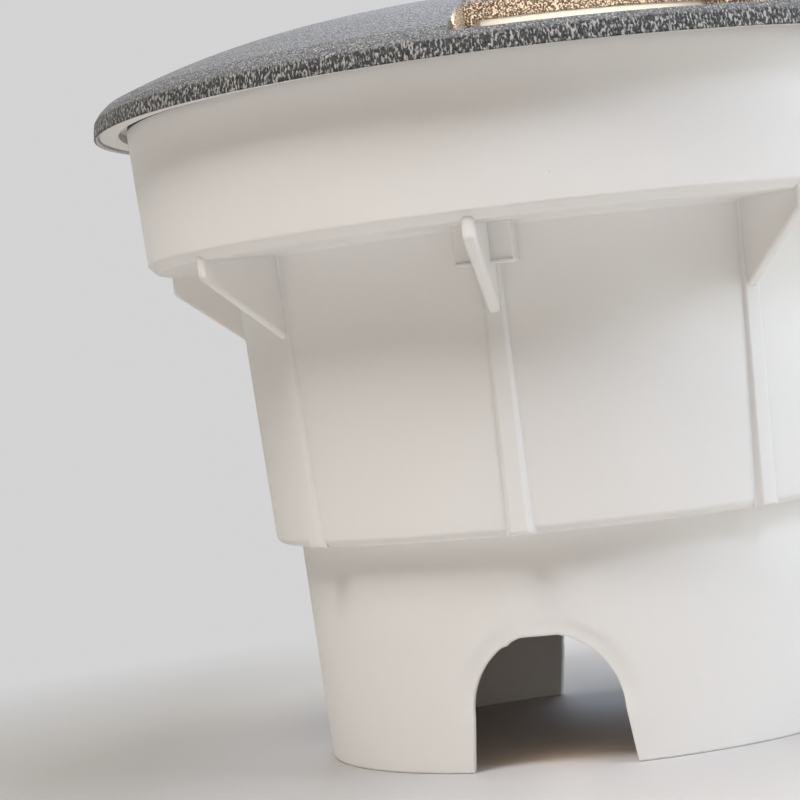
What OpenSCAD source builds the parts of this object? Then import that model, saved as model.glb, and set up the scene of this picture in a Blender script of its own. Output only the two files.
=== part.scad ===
// In-ground spotlight: a burial sleeve, a sealed lamp housing with an aimed lamp
// inside it, and a cast cover with two side windows. Millimetres, +Z up.
// The origin is the centre of the sleeve's resting rim, and the front arch faces -Y.

/* [Sleeve] */
// Height of the burial sleeve
sleeve_h = 149; // [140:0.5:170]
// Wall thickness of the sleeve
sleeve_wall = 3; // [2.4:0.1:3.4]
// Outer radius of the foot rim
foot_r = 62.6; // [60:0.1:64]
// Height of the foot skirt below the step
skirt_h = 50.9; // [46:0.1:52]
// Radius gained by the foot skirt over its height
skirt_taper = 2; // [0:0.1:3]
// Width of the step above the foot skirt
step_w = 5.6; // [5:0.1:7]
// Rounding of the step's outer edge
step_round = 2; // [0.5:0.1:2.5]
// Radius gained by the middle wall over its height
mid_taper = 3.3; // [3:0.1:4]
// Height of the wide band at the top
band_h = 32.7; // [30:0.1:36]
// How far the band's lower edge stands out of the middle wall
band_ledge = 19.7; // [18:0.1:22]
// Radius gained by the band over its height
band_taper = 1.7; // [0.5:0.1:2]
// Chamfer under the band
band_chamfer = 1.9; // [0.5:0.1:2.4]

/* [Ribs and arches] */
// Number of gussets under the band, each over a rib
rib_n = 8; // [4, 8, 12]
// Width of a rib
rib_w = 4.5; // [3:0.1:6]
// How far a rib stands out of the middle wall
rib_proud = 1.8; // [1:0.1:3]
// How far a rib stands out at its top
rib_top_proud = 0.8; // [0.4:0.1:2]
// Thickness of a gusset
gusset_t = 2.8; // [2:0.1:4]
// Length of a gusset's upright outer edge
gusset_edge_h = 4; // [2:0.1:6]
// Height of a gusset at the wall
gusset_wall_h = 18.9; // [12:0.1:24]
// How far a gusset's outer edge lies inside the band's lower edge
gusset_inset = 1; // [0.5:0.1:2]
// Width of a conduit arch at the floor
arch_w = 35.8; // [28:0.2:42]
// Height of a conduit arch
arch_h = 28.7; // [24:0.1:34]
// Rise of a conduit arch above its straight legs, before its flat top is cut
arch_round = 17.2; // [16:0.1:18]
// Narrowing of a conduit arch from floor to shoulder
arch_taper = 2.8; // [0:0.1:4]

/* [Hold-down] */
// Radius of a hold-down screw's thread
hold_screw_r = 2; // [1.8:0.05:2.1]
// Length of a hold-down screw's shank
hold_screw_l = 40; // [38:0.5:44]
// Radius of a hold-down screw's head
hold_head_r = 3.5; // [3.2:0.1:3.6]
// Radius of the upright column round a hold-down screw
column_r = 4; // [3.6:0.1:4.2]
// Width across the square nut
nut_w = 7; // [6.4:0.1:7.2]
// Thickness of the square nut
nut_t = 2.2; // [2:0.1:2.8]
// Width of the nut pocket's block
pocket_w = 12.6; // [11:0.1:15]
// Height of the nut pocket's block
pocket_h = 8.6; // [7.6:0.1:9.5]
// How far the pocket's block stands out of the middle wall
pocket_proud = 5.3; // [5.2:0.1:6]
// Height of the lip along the block's lower edge
pocket_lip = 0.7; // [0.4:0.1:1]

/* [Lamp housing] */
// Gap between the sleeve's middle wall and the canister
can_gap = 3.2; // [2:0.1:5]
// Wall and floor thickness of the canister
can_wall = 3; // [2.4:0.1:3.2]
// Gap between the sleeve's step and the canister's underside
can_clear = 3.1; // [2:0.1:6]
// Thickness of the housing's flange
flange_t = 2; // [1.8:0.1:2.2]
// Thickness of the gasket between sleeve and flange
flange_gasket_t = 1.9; // [1.2:0.1:2.4]
// Radial thickness of the flange's down-turned lip
lip_t = 4.4; // [3:0.1:4.6]
// Gap between the sleeve's band and the lip
lip_gap = 1.9; // [1.2:0.1:2.4]
// Number of webs under the flange
web_n = 12; // [6, 12]
// Thickness of a web under the flange
web_t = 2; // [1.6:0.1:3]
// Depth of a web at the canister
web_h = 24; // [16:1:28]
// Gap between the webs and the sleeve's band
web_gap = 4.9; // [3:0.1:7]
// Height of the ledge that carries the turntable, above the canister's floor
ledge_h = 35; // [34:0.5:38]
// Thickness of that ledge
ledge_t = 3; // [2.5:0.1:4]
// Radial width of that ledge
ledge_w = 13; // [11:0.1:15]

/* [Lens and clamp] */
// How far the glass lens reaches over the canister's wall
lens_lap = 0.5; // [0:0.1:1]
// Thickness of the lens at its base
lens_base_t = 3; // [2.5:0.1:3.2]
// Radial width of the lens's shoulder, which the clamp ring holds
lens_shoulder_w = 9; // [8:0.1:10]
// Height of the raised middle above the lens base
lens_rise = 4.5; // [3:0.1:4.6]
// Thickness of the lens gasket
lens_gasket_t = 1; // [0.8:0.1:1.2]
// Radial width of the lens's seat on the flange
lens_seat_w = 5.5; // [4:0.1:6]
// Thickness of the clamp ring over the glass
clamp_t = 2.6; // [1.4:0.1:2.8]
// Radial width of the clamp ring outside the glass
clamp_w = 8.2; // [7.6:0.1:9]
// Number of screws in the clamp ring
clamp_screw_n = 6; // [6, 12]
// Radius of a clamp screw's thread
clamp_screw_r = 1.5; // [1.3:0.05:1.6]

/* [Cover] */
// Height of the cover's crown above the ground rim's plane at the sleeve's top
cover_rise = 20.5; // [20:0.1:24]
// Wall thickness of the cover
cover_wall = 3.4; // [3:0.1:3.6]
// Thickness of the cover's skirt outside the lip
cover_skirt_t = 1; // [0.8:0.1:1.6]
// How far the cover's skirt reaches below the sleeve's top
cover_skirt_drop = 0.6; // [0:0.1:2]
// Steepness of the crown: higher is flatter in the middle and steeper at the edge
crown_power = 2.9; // [2.4:0.1:3.2]
// Number of side windows
window_n = 2; // [1, 2]
// Direction of the first window's left jamb, from the front arch
window_from = 1; // [0:0.5:6]
// Angle that a window spans
window_span = 43; // [36:0.5:46]
// Gap between a hold-down screw's head and a window's opening
sill_gap = 1; // [0.5:0.1:4]
// How far a window's jamb walls reach in over the lens
jamb_lap = 1.5; // [0:0.1:4]
// Thickness of a jamb wall
jamb_t = 3; // [2:0.1:4]
// Height of a window's sill above the flange
sill_h = 0.8; // [0.6:0.1:1.2]
// Width of the cover's seat inside the band's top edge
seat_w = 7.9; // [5:0.1:9]
// Distance of a cover screw from the sleeve's inner wall
cover_screw_inset = 7.9; // [7:0.1:9]
// Radius of a cover screw's thread
cover_screw_r = 2; // [1.8:0.05:2.2]
// Length of a cover screw's shank below its head
cover_screw_l = 12; // [10:0.5:14]

/* [Lamp head] */
// Space round the lamp head, which its yoke takes up
head_space = 25; // [24:0.5:30]
// Height of the lamp head's body above the canister's floor
head_z = 40; // [39:0.5:42]
// Length of the cooling fins under the body
fin_h = 8; // [5:0.5:8]
// Thickness of the solid core above the fins
core_h = 12; // [11:0.5:14]
// Depth of the cup above the core
cup_h = 16; // [14:0.5:17]
// Wall of the cup
cup_wall = 2.5; // [2:0.1:3]
// Thickness of the head's lens
head_lens_t = 2; // [1.5:0.1:2.5]
// Radial thickness of the bezel
bezel_t = 2; // [1.5:0.1:2.2]
// Radius of the light-emitting chip
chip_r = 9; // [6:0.5:10]
// Radius of a pivot screw
pivot_r = 2.5; // [2:0.1:3]
// Thickness of a yoke bracket
yoke_t = 3; // [2:0.1:3.2]
// Half width of a yoke bracket
yoke_half_w = 7; // [6:0.1:8]

/* [Cable gland] */
// Radius of the cable that the gland takes
cable_r = 4.5; // [3.5:0.1:5]
// Radius of the gland's thread
gland_thread_r = 8; // [7.5:0.1:8.5]
// Radius over the corners of the gland's hexagon
gland_hex_r = 11; // [10:0.1:12]

/* [Clearances] */
// Running clearance of a screw in its bore
run_gap = 0.06; // [0.02:0.01:0.09]
// Gap between pieces that pass each other
pass_gap = 0.3; // [0.2:0.05:0.4]
// Gap between a piece and the pocket that holds it
pocket_gap = 0.1; // [0.05:0.01:0.2]

/* [Hidden] */
$fn = 96;
eps = 0.01;
far = 130;

// Sleeve radii and heights
band_z = sleeve_h - band_h;
skirt_top_r = foot_r + skirt_taper;
mid_bottom_r = skirt_top_r + step_w;
mid_top_r = mid_bottom_r + mid_taper;
band_bottom_r = mid_top_r + band_ledge;
band_top_r = band_bottom_r + band_taper;
band_in_r = band_top_r - sleeve_wall;
gusset_r = band_bottom_r - gusset_inset;
gusset_foot_z = band_z - gusset_wall_h;
arch_cut = 0.5;
arch_step = 6;

// Canister radii and heights
can_r = mid_bottom_r - sleeve_wall - can_gap;
can_in_r = can_r - can_wall;
can_z = skirt_h + sleeve_wall + can_clear;
floor_z = can_z + can_wall;

// Lens and clamp radii
lens_r = can_in_r + lens_lap;
lens_seat_r = lens_r - lens_seat_w;
lens_top_r = lens_r - lens_shoulder_w;
lens_edge_gap = 0.5;
lens_edge_round = 1;
lens_wall = 6;
lens_crown_t = 4.5;
clamp_hole_r = lens_r + lens_edge_gap;
clamp_r = clamp_hole_r + clamp_w;
clamp_lip_gap = 1;
clamp_chamfer = 0.5;

// Heights of what is stacked on the sleeve
flange_z = sleeve_h + flange_gasket_t;
flange_top = flange_z + flange_t;
lens_z = flange_top + lens_gasket_t;
lens_base_top = lens_z + lens_base_t;
lens_top = lens_base_top + lens_rise;
clamp_top = lens_base_top + clamp_t;
lip_in_r = band_top_r + lip_gap;
lip_r = lip_in_r + lip_t;
lip_round = 2;

// Cover outline
skirt_in_r = lip_r + pass_gap;
cover_r = skirt_in_r + cover_skirt_t;
cover_low = sleeve_h - cover_skirt_drop;
crown_z = sleeve_h + cover_rise;
shoulder_inset = 3.1;
shoulder_r = cover_r - shoulder_inset;
shoulder_rise = 2;
shoulder_z = flange_top + shoulder_rise;
sill_z = flange_top + sill_h;
seat_in_r = band_top_r - seat_w;
crown_steps = 18;

// Hold-down screws and their nuts
head_h = 2.4;
hold_key_w = 3;
hold_r = clamp_r + hold_head_r + pass_gap;
hold_tip_z = flange_top - hold_screw_l;
tip_below_nut = 1.6;
nut_z = hold_tip_z + tip_below_nut;
bore_gap = 0.25;
hold_bore_r = hold_screw_r + bore_gap;
window_in_r = hold_r + hold_head_r + sill_gap;
jamb_in_r = lens_r - jamb_lap;
jamb_clear = 0.5;

// Clamp screws
clamp_head_h = 1.1;
clamp_head_r = 2.8;
clamp_screw_at = (clamp_hole_r + clamp_r) / 2;
clamp_boss_r = 4;
clamp_boss_l = 9;
clamp_tip_gap = 1;
boss_floor = 2;
small_key_w = 2;
small_head_h = 1.6;
clamp_from = window_from + window_span / 2 + 180 / clamp_screw_n;

// Cover screws, seals and inserts
cover_screw_from = window_from + window_span / 2 + 90;
cover_screw_at = band_in_r - cover_screw_inset;
cover_head_r = 4;
cover_key_w = 2.5;
cover_head_h = 2.2;
seal_t = 1;
cover_pillar_r = 6.4;
cover_pillar_floor = 2.6;
cover_head_gap = 0.4;
cover_seal_z = flange_top + cover_pillar_floor;
cover_head_z = cover_seal_z + seal_t;
insert_r = 3;
insert_l = 8;
insert_boss_r = 5;

// Inside the canister
ledge_z = floor_z + ledge_h;
ledge_hole_r = can_in_r - ledge_w;
turntable_t = 3;
turntable_gap = 0.6;
turntable_r = can_in_r - turntable_gap;
turntable_lap = 1;
turntable_in_r = ledge_hole_r - turntable_lap;
retainer_z = ledge_z + turntable_t + pass_gap;
retainer_t = 1.4;
retainer_depth = 3.5;
retainer_split = 6;
groove_depth = 0.8;

// Lamp head radii and heights
head_r = can_in_r - head_space;
head_bottom = floor_z + head_z;
core_z = head_bottom + fin_h;
board_z = core_z + core_h;
board_t = 1.6;
chip_t = 1;
cup_top = board_z + cup_h;
bezel_over = 2;
bezel_grip = 5;
bezel_chamfer = 0.8;
bezel_top = cup_top + head_lens_t + bezel_over;
bezel_r = head_r + bezel_t;
tilt_drop = 1;
tilt_z = core_z + core_h / 2 - tilt_drop;
pivot_depth = 8;
pivot_head_r = pivot_r + 2.2;
pivot_head_t = 2.6;
pivot_key_r = 1.6;
pivot_tip_gap = 0.5;
yoke_gap = 0.6;
yoke_x = bezel_r + yoke_gap;
yoke_z = ledge_z + turntable_t;
foot_t = 2.5;
foot_l = 13;
foot_end = yoke_x + yoke_t + foot_l;
bracket_screw_in = 8;
bracket_screw_x = yoke_x + yoke_t + bracket_screw_in;
bracket_screw_r = 1.5;
bracket_head_r = 2.7;
bracket_tip_gap = 0.4;
lock_boss_r = 5;
lock_boss_h = 3;
lock_at = turntable_in_r + lock_boss_r;
lock_r = 2;
lock_head_r = 4.5;
lock_head_h = 4.5;
flute_r = 0.8;
flute_out = 0.4;

// Fins, reflector and chip
fin_n = 11;
fin_pitch = 6;
fin_gap = 3.4;
fin_inset = 1;
reflector_t = 1.2;
reflector_gap = 1;
reflector_foot = 3;

// Driver, terminals and gland
driver_size = [56, 28, 20];
driver_gap = 2;
driver_y = -gland_hex_r - driver_gap - driver_size[1] / 2;
driver_ear_r = 4;
driver_ear_t = 2;
driver_ear_x = driver_size[0] / 2 + driver_ear_r;
driver_screw_l = 3.8;
small_gap = 0.2;
terminal_size = [26, 12, 20];
terminal_gap = 5;
terminal_y = gland_hex_r + terminal_gap + terminal_size[1] / 2;
terminal_n = 3;
terminal_screw_r = 1.8;
terminal_screw_depth = 6;
terminal_hole_r = 2.2;
terminal_hole_z = 6;
lead_r = 1.2;
lead_in = 3;
lead_bend = 6;
lead_pitch = 8;
gland_flange_t = 5;
gland_stub = 8;
gland_nut_t = 4;
gland_end = 2;
gland_cap_draft = 2;
gland_cap_h = 13;
gland_cap_lip = 3;
gland_seal_l = 7;

// Colours
cream = [0.86, 0.83, 0.79];
coat_grey = [0.42, 0.42, 0.43];

// Points along an arc, in the plane of a turned outline
function arc_points(centre, r, from, to, steps) =
    [for (i = [0:steps]) centre + r * [cos(from + (to - from) * i / steps),
                                       sin(from + (to - from) * i / steps)]];

// Outer radius of the sleeve's middle wall at height z
function mid_r(z) = mid_bottom_r + mid_taper * (z - skirt_h) / (band_z - skirt_h);

// Height of the cover's outer surface at radius r
function crown(r) = crown_z - (crown_z - shoulder_z) * pow(r / shoulder_r, crown_power);

// Outline of the crown from radius a to radius b, lowered by drop
function crown_points(a, b, drop) =
    [for (i = [0:crown_steps]) let (r = a + (b - a) * i / crown_steps) [r, crown(r) - drop]];

// Turns children to a compass direction measured from the front arch
module at_azimuth(a) {
    rotate([0, 0, a - 90]) children();
}

// Repeats children evenly round the axis, starting at a direction from the front
module around(n, from = 0) {
    for (i = [0:n - 1]) at_azimuth(from + i * 360 / n) children();
}

// Upright plate that stands in a radial plane, drawn as radius and height
module radial_plate(points, t) {
    rotate([90, 0, 0]) linear_extrude(t, center = true) polygon(points);
}

// Ring with square edges
module ring(r_out, r_in, z, h) {
    translate([0, 0, z]) difference() {
        cylinder(r = r_out, h = h);
        translate([0, 0, -eps]) cylinder(r = r_in, h = h + 2 * eps);
    }
}

// Screw that hangs from its head: the shank ends at z minus its length
module hanging_screw(z, shank_r, shank_l, head_r, head_h, key_w) {
    translate([0, 0, z - shank_l]) cylinder(r = shank_r, h = shank_l + eps);
    translate([0, 0, z]) difference() {
        union() {
            cylinder(r = head_r, h = head_h * 0.6);
            translate([0, 0, head_h * 0.6])
                cylinder(r1 = head_r, r2 = head_r * 0.82, h = head_h * 0.4);
        }
        translate([0, 0, head_h * 0.35]) cylinder(r = key_w / sqrt(3), h = head_h, $fn = 6);
    }
}

// Outline of a conduit arch, drawn across and upward
module arch_outline() {
    half = arch_w / 2;
    shoulder = half - arch_taper / 2;
    spring = arch_h + arch_cut - arch_round;
    polygon(concat([[-half, -1], [half, -1], [half, 0]],
        [for (a = [0:arch_step:180])
            [shoulder * cos(a), min(arch_h, spring + arch_round * sin(a))]],
        [[-half, 0]]));
}

module sleeve_wall_turned() {
    corner = [mid_bottom_r - step_round, skirt_h + step_round];
    rotate_extrude() polygon(concat(
        [[foot_r, 0], [skirt_top_r, skirt_h]],
        arc_points(corner, step_round, -90, 0, 5),
        [[mid_top_r, band_z],
         [band_bottom_r - band_chamfer, band_z],
         [band_bottom_r, band_z + band_chamfer],
         [band_top_r, sleeve_h],
         [band_in_r, sleeve_h],
         [band_bottom_r - sleeve_wall, band_z + sleeve_wall],
         [mid_top_r - sleeve_wall, band_z + sleeve_wall],
         [mid_bottom_r - sleeve_wall, skirt_h + sleeve_wall],
         [skirt_top_r - sleeve_wall, skirt_h + sleeve_wall],
         [foot_r - sleeve_wall, 0]]));
}

module gusset_and_rib() {
    root = sleeve_wall / 2;
    chamfer_z = band_z + band_chamfer - gusset_inset;
    radial_plate([[mid_r(gusset_foot_z) - root, gusset_foot_z],
                  [mid_r(gusset_foot_z), gusset_foot_z],
                  [gusset_r, band_z - gusset_edge_h],
                  [gusset_r, chamfer_z],
                  [mid_top_r - root, chamfer_z]], gusset_t);
    radial_plate([[mid_bottom_r - root, skirt_h + step_round / 2],
                  [mid_bottom_r - step_round / 2, skirt_h],
                  [mid_bottom_r + rib_proud, skirt_h],
                  [mid_top_r + rib_top_proud, band_z + eps],
                  [mid_top_r - root, band_z + eps]], rib_w);
}

module pocket_block() {
    face = mid_r(band_z - pocket_h) + pocket_proud;
    in_r = mid_r(band_z - pocket_h) - sleeve_wall / 2;
    translate([in_r, -pocket_w / 2, band_z - pocket_h])
        cube([face - in_r, pocket_w, pocket_h + sleeve_wall / 2]);
    translate([in_r, -pocket_w / 2, band_z - pocket_h])
        cube([face - in_r + pocket_lip, pocket_w, pocket_lip]);
}

module sleeve() {
    color(cream) difference() {
        union() {
            sleeve_wall_turned();
            around(rib_n) gusset_and_rib();
            around(2) pocket_block();
            around(2) translate([hold_r, 0, band_z + sleeve_wall / 2])
                cylinder(r = column_r, h = band_h - sleeve_wall / 2);
        }
        rotate([90, 0, 0]) linear_extrude(4 * foot_r, center = true) arch_outline();
        around(2) translate([hold_r, 0, hold_tip_z - pass_gap])
            cylinder(r = hold_bore_r, h = hold_screw_l);
        around(2) translate([foot_r, -nut_w / 2 - pocket_gap, nut_z])
            cube([hold_r + nut_w / 2 + pocket_gap - foot_r, nut_w + 2 * pocket_gap,
                  nut_t + 2 * pocket_gap]);
    }
}

module pocket_nuts() {
    color("silver") around(2) translate([hold_r, 0, nut_z]) difference() {
        translate([-nut_w / 2, -nut_w / 2, 0]) cube([nut_w, nut_w, nut_t]);
        translate([0, 0, -1]) cylinder(r = hold_screw_r + run_gap, h = nut_t + 2);
    }
}

module flange_gasket() {
    inset = pass_gap;
    color("dimgray") ring(band_top_r - inset, band_in_r + inset, sleeve_h, flange_gasket_t);
}

module housing_shell() {
    rotate_extrude() polygon([
        [0, can_z], [can_r, can_z], [can_r, flange_z],
        [lip_in_r, flange_z], [lip_in_r, sleeve_h], [lip_r, sleeve_h],
        [lip_r, flange_top - lip_round], [lip_r - lip_round, flange_top],
        [lens_seat_r, flange_top], [lens_seat_r, flange_z], [can_in_r, flange_z],
        [can_in_r, retainer_z + retainer_t], [can_in_r + groove_depth, retainer_z + retainer_t],
        [can_in_r + groove_depth, retainer_z], [can_in_r, retainer_z],
        [can_in_r, ledge_z], [ledge_hole_r, ledge_z], [ledge_hole_r, ledge_z - ledge_t],
        [can_in_r, ledge_z - ledge_t], [can_in_r, floor_z], [0, floor_z]]);
}

module lamp_housing() {
    web_end_r = band_in_r - web_gap;
    web_end_h = 2;
    insert_cap = 2;
    color(cream) difference() {
        union() {
            housing_shell();
            around(web_n, 15) radial_plate([[can_r - 1, flange_z + eps],
                [can_r - 1, flange_z - web_h], [can_r, flange_z - web_h],
                [web_end_r, flange_z - web_end_h], [web_end_r, flange_z + eps]], web_t);
            around(clamp_screw_n, clamp_from) translate([clamp_screw_at, 0, flange_top - clamp_boss_l])
                cylinder(r = clamp_boss_r, h = clamp_boss_l - flange_t / 2);
            around(2, cover_screw_from)
                translate([cover_screw_at, 0, flange_z - insert_l - insert_cap])
                cylinder(r = insert_boss_r, h = insert_l + insert_cap + flange_t / 2);
        }
        around(clamp_screw_n, clamp_from)
            translate([clamp_screw_at, 0, flange_top - clamp_boss_l + boss_floor])
            cylinder(r = clamp_screw_r, h = clamp_boss_l);
        around(2) translate([hold_r, 0, flange_z - 1]) cylinder(r = hold_bore_r, h = flange_t + 2);
        around(2, cover_screw_from) translate([cover_screw_at, 0, flange_top - insert_l])
            cylinder(r = insert_r, h = insert_l + 1);
        around(2, cover_screw_from) translate([cover_screw_at, 0, flange_z - insert_l - 1])
            cylinder(r = cover_screw_r + cover_head_gap, h = insert_l);
        translate([0, 0, can_z - 1]) cylinder(r = gland_thread_r + run_gap, h = can_wall + 2);
        for (s = [-1, 1]) translate([s * driver_ear_x, driver_y, can_z + can_wall / 3])
            cylinder(r = clamp_screw_r, h = can_wall);
    }
}

module hold_down_screws() {
    color("silver") around(2) translate([hold_r, 0, 0])
        hanging_screw(flange_top, hold_screw_r, hold_screw_l, hold_head_r, head_h, hold_key_w);
}

module lens_gasket() {
    color("dimgray") ring(lens_r - pass_gap, lens_seat_r + pass_gap, flange_top, lens_gasket_t);
}

module glass_lens() {
    hollow_r = lens_top_r - lens_wall;
    hollow_top = lens_top - lens_crown_t;
    edge_at = [lens_top_r - lens_edge_round, lens_top - lens_edge_round];
    color([0.92, 0.93, 0.9, 0.7]) rotate_extrude() polygon(concat(
        [[0, hollow_top], [hollow_r, hollow_top], [hollow_r + lens_edge_round, lens_z],
         [lens_r, lens_z], [lens_r, lens_base_top], [lens_top_r, lens_base_top]],
        arc_points(edge_at, lens_edge_round, 0, 90, 4),
        [[0, lens_top]]));
}

module lens_clamp_ring() {
    clamp_in_r = lens_top_r + clamp_lip_gap;
    color("silver") difference() {
        rotate_extrude() polygon([
            [clamp_hole_r, flange_top], [clamp_r, flange_top], [clamp_r, clamp_top - clamp_chamfer],
            [clamp_r - clamp_chamfer, clamp_top], [clamp_in_r, clamp_top],
            [clamp_in_r, lens_base_top], [clamp_hole_r, lens_base_top]]);
        around(clamp_screw_n, clamp_from) translate([clamp_screw_at, 0, flange_top - 1])
            cylinder(r = clamp_screw_r + small_gap, h = clamp_top - flange_top + 2);
    }
}

module clamp_screws() {
    shank = clamp_top - flange_top + clamp_boss_l - boss_floor - clamp_tip_gap;
    color("silver") around(clamp_screw_n, clamp_from) translate([clamp_screw_at, 0, 0])
        hanging_screw(clamp_top, clamp_screw_r - pocket_gap / 2, shank, clamp_head_r,
                      clamp_head_h, small_key_w);
}

module cover_inserts() {
    color("goldenrod") around(2, cover_screw_from) translate([cover_screw_at, 0, 0])
        ring(insert_r - run_gap / 2, cover_screw_r + run_gap, flange_top - insert_l, insert_l);
}

module cable_gland() {
    bottom = can_z - gland_flange_t - gland_stub;
    color("dimgray") difference() {
        union() {
            translate([0, 0, can_z - gland_flange_t])
                cylinder(r = gland_hex_r, h = gland_flange_t, $fn = 6);
            translate([0, 0, bottom])
                cylinder(r = gland_thread_r, h = floor_z + gland_nut_t + gland_end - bottom);
        }
        translate([0, 0, bottom - 1])
            cylinder(r = cable_r, h = floor_z + gland_nut_t + gland_end + 2 - bottom);
    }
}

module gland_nut() {
    color("dimgray") translate([0, 0, floor_z]) difference() {
        cylinder(r = gland_hex_r, h = gland_nut_t, $fn = 6);
        translate([0, 0, -1]) cylinder(r = gland_thread_r + run_gap, h = gland_nut_t + 2);
    }
}

module gland_seal() {
    top = can_z - gland_flange_t - gland_stub;
    color("black") ring(gland_thread_r, cable_r, top - gland_seal_l, gland_seal_l);
}

module gland_cap() {
    top = can_z - gland_flange_t;
    seal_low = top - gland_stub - gland_seal_l;
    outer = gland_hex_r * cos(30);
    color("dimgray") difference() {
        union() {
            translate([0, 0, top - gland_cap_h]) cylinder(r = gland_hex_r, h = gland_cap_h, $fn = 6);
            translate([0, 0, seal_low - gland_cap_lip])
                cylinder(r1 = outer - gland_cap_draft, r2 = outer,
                         h = top - gland_cap_h - seal_low + gland_cap_lip);
        }
        translate([0, 0, seal_low]) cylinder(r = gland_thread_r + run_gap, h = far);
        translate([0, 0, seal_low - gland_cap_lip - 1]) cylinder(r = cable_r, h = gland_cap_lip + 2);
    }
}

module driver() {
    color("black") difference() {
        union() {
            translate([-driver_size[0] / 2, driver_y - driver_size[1] / 2, floor_z])
                cube(driver_size);
            for (s = [-1, 1]) translate([s * driver_ear_x, driver_y, floor_z])
                cylinder(r = driver_ear_r, h = driver_ear_t);
            translate([-driver_ear_x, driver_y - driver_ear_r, floor_z])
                cube([2 * driver_ear_x, 2 * driver_ear_r, driver_ear_t]);
        }
        for (s = [-1, 1]) translate([s * driver_ear_x, driver_y, floor_z - 1])
            cylinder(r = clamp_screw_r + small_gap, h = driver_ear_t + 2);
    }
}

module driver_screws() {
    color("silver") for (s = [-1, 1]) translate([s * driver_ear_x, driver_y, 0])
        hanging_screw(floor_z + driver_ear_t, clamp_screw_r - pocket_gap / 2, driver_screw_l,
                      clamp_head_r, small_head_h, small_key_w);
}

module terminal_block() {
    color("ivory") difference() {
        translate([-terminal_size[0] / 2, terminal_y - terminal_size[1] / 2, floor_z])
            cube(terminal_size);
        for (i = [0:terminal_n - 1])
            translate([(i - (terminal_n - 1) / 2) * lead_pitch, terminal_y + terminal_screw_r,
                       floor_z + terminal_size[2] - terminal_screw_depth])
            cylinder(r = terminal_screw_r, h = terminal_screw_depth + 1);
        for (i = [0:terminal_n - 1])
            translate([(i - (terminal_n - 1) / 2) * lead_pitch, terminal_y + terminal_size[1],
                       floor_z + terminal_hole_z]) rotate([90, 0, 0])
            cylinder(r = terminal_hole_r, h = terminal_size[1]);
    }
}

module driver_leads() {
    from_y = driver_y + driver_size[1] / 2 - lead_in;
    to_y = terminal_y - terminal_size[1] / 2 + lead_in;
    color("sienna") for (s = [-1, 1])
        translate([s * lead_pitch / 2, 0, floor_z + driver_size[2]]) {
            translate([0, to_y - lead_bend, 0]) rotate([90, 0, 90]) lead_quarter();
            translate([0, from_y + lead_bend, 0]) rotate([90, 0, -90]) lead_quarter();
            translate([0, from_y + lead_bend, lead_bend]) rotate([-90, 0, 0])
                cylinder(r = lead_r, h = to_y - from_y - 2 * lead_bend);
        }
}

// Quarter of a lead's bend
module lead_quarter() {
    rotate_extrude(angle = 90) translate([lead_bend, 0]) circle(r = lead_r);
}

module turntable_retainer() {
    out_r = can_in_r + groove_depth - pass_gap / 2;
    color("silver") difference() {
        ring(out_r, can_in_r - retainer_depth, retainer_z, retainer_t);
        translate([0, -retainer_split / 2, retainer_z - 1])
            cube([far, retainer_split, retainer_t + 2]);
    }
}

module turntable() {
    color("gainsboro") difference() {
        union() {
            ring(turntable_r, turntable_in_r, ledge_z, turntable_t);
            translate([0, -lock_at, ledge_z])
                cylinder(r = lock_boss_r, h = turntable_t + lock_boss_h);
        }
        translate([0, -lock_at, ledge_z - 1])
            cylinder(r = lock_r + run_gap, h = turntable_t + lock_boss_h + 2);
        for (s = [-1, 1], t = [-1, 1])
            translate([s * bracket_screw_x, t * yoke_half_w / 2, ledge_z - 1])
            cylinder(r = bracket_screw_r + run_gap, h = turntable_t + 2);
    }
}

module yoke_brackets() {
    bore_r = pivot_r + run_gap;
    color("silver") for (s = [0, 180]) rotate([0, 0, s]) difference() {
        union() {
            translate([yoke_x, -yoke_half_w, yoke_z])
                cube([yoke_t, 2 * yoke_half_w, tilt_z - yoke_z]);
            translate([yoke_x, 0, tilt_z]) rotate([0, 90, 0])
                cylinder(r = yoke_half_w, h = yoke_t);
            translate([yoke_x, -yoke_half_w, yoke_z])
                cube([foot_end - yoke_x, 2 * yoke_half_w, foot_t]);
        }
        translate([yoke_x - 1, 0, tilt_z]) rotate([0, 90, 0]) cylinder(r = bore_r, h = yoke_t + 2);
        for (t = [-1, 1]) translate([bracket_screw_x, t * yoke_half_w / 2, yoke_z - 1])
            cylinder(r = bracket_screw_r + run_gap, h = foot_t + 2);
    }
}

module bracket_screws() {
    color("silver") for (s = [-1, 1], t = [-1, 1])
        translate([s * bracket_screw_x, t * yoke_half_w / 2, 0])
        hanging_screw(yoke_z + foot_t, bracket_screw_r, foot_t + turntable_t - bracket_tip_gap,
                      bracket_head_r, small_head_h, small_key_w);
}

module pan_lock_screw() {
    top = ledge_z + turntable_t + lock_boss_h + pass_gap;
    color("silver") translate([0, -lock_at, 0]) difference() {
        union() {
            translate([0, 0, ledge_z + pocket_gap]) cylinder(r = lock_r, h = top - ledge_z);
            translate([0, 0, top]) cylinder(r = lock_head_r, h = lock_head_h);
        }
        for (i = [0:11]) rotate([0, 0, i * 30]) translate([lock_head_r + flute_out, 0, top - 1])
            cylinder(r = flute_r, h = lock_head_h + 2);
    }
}

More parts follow.
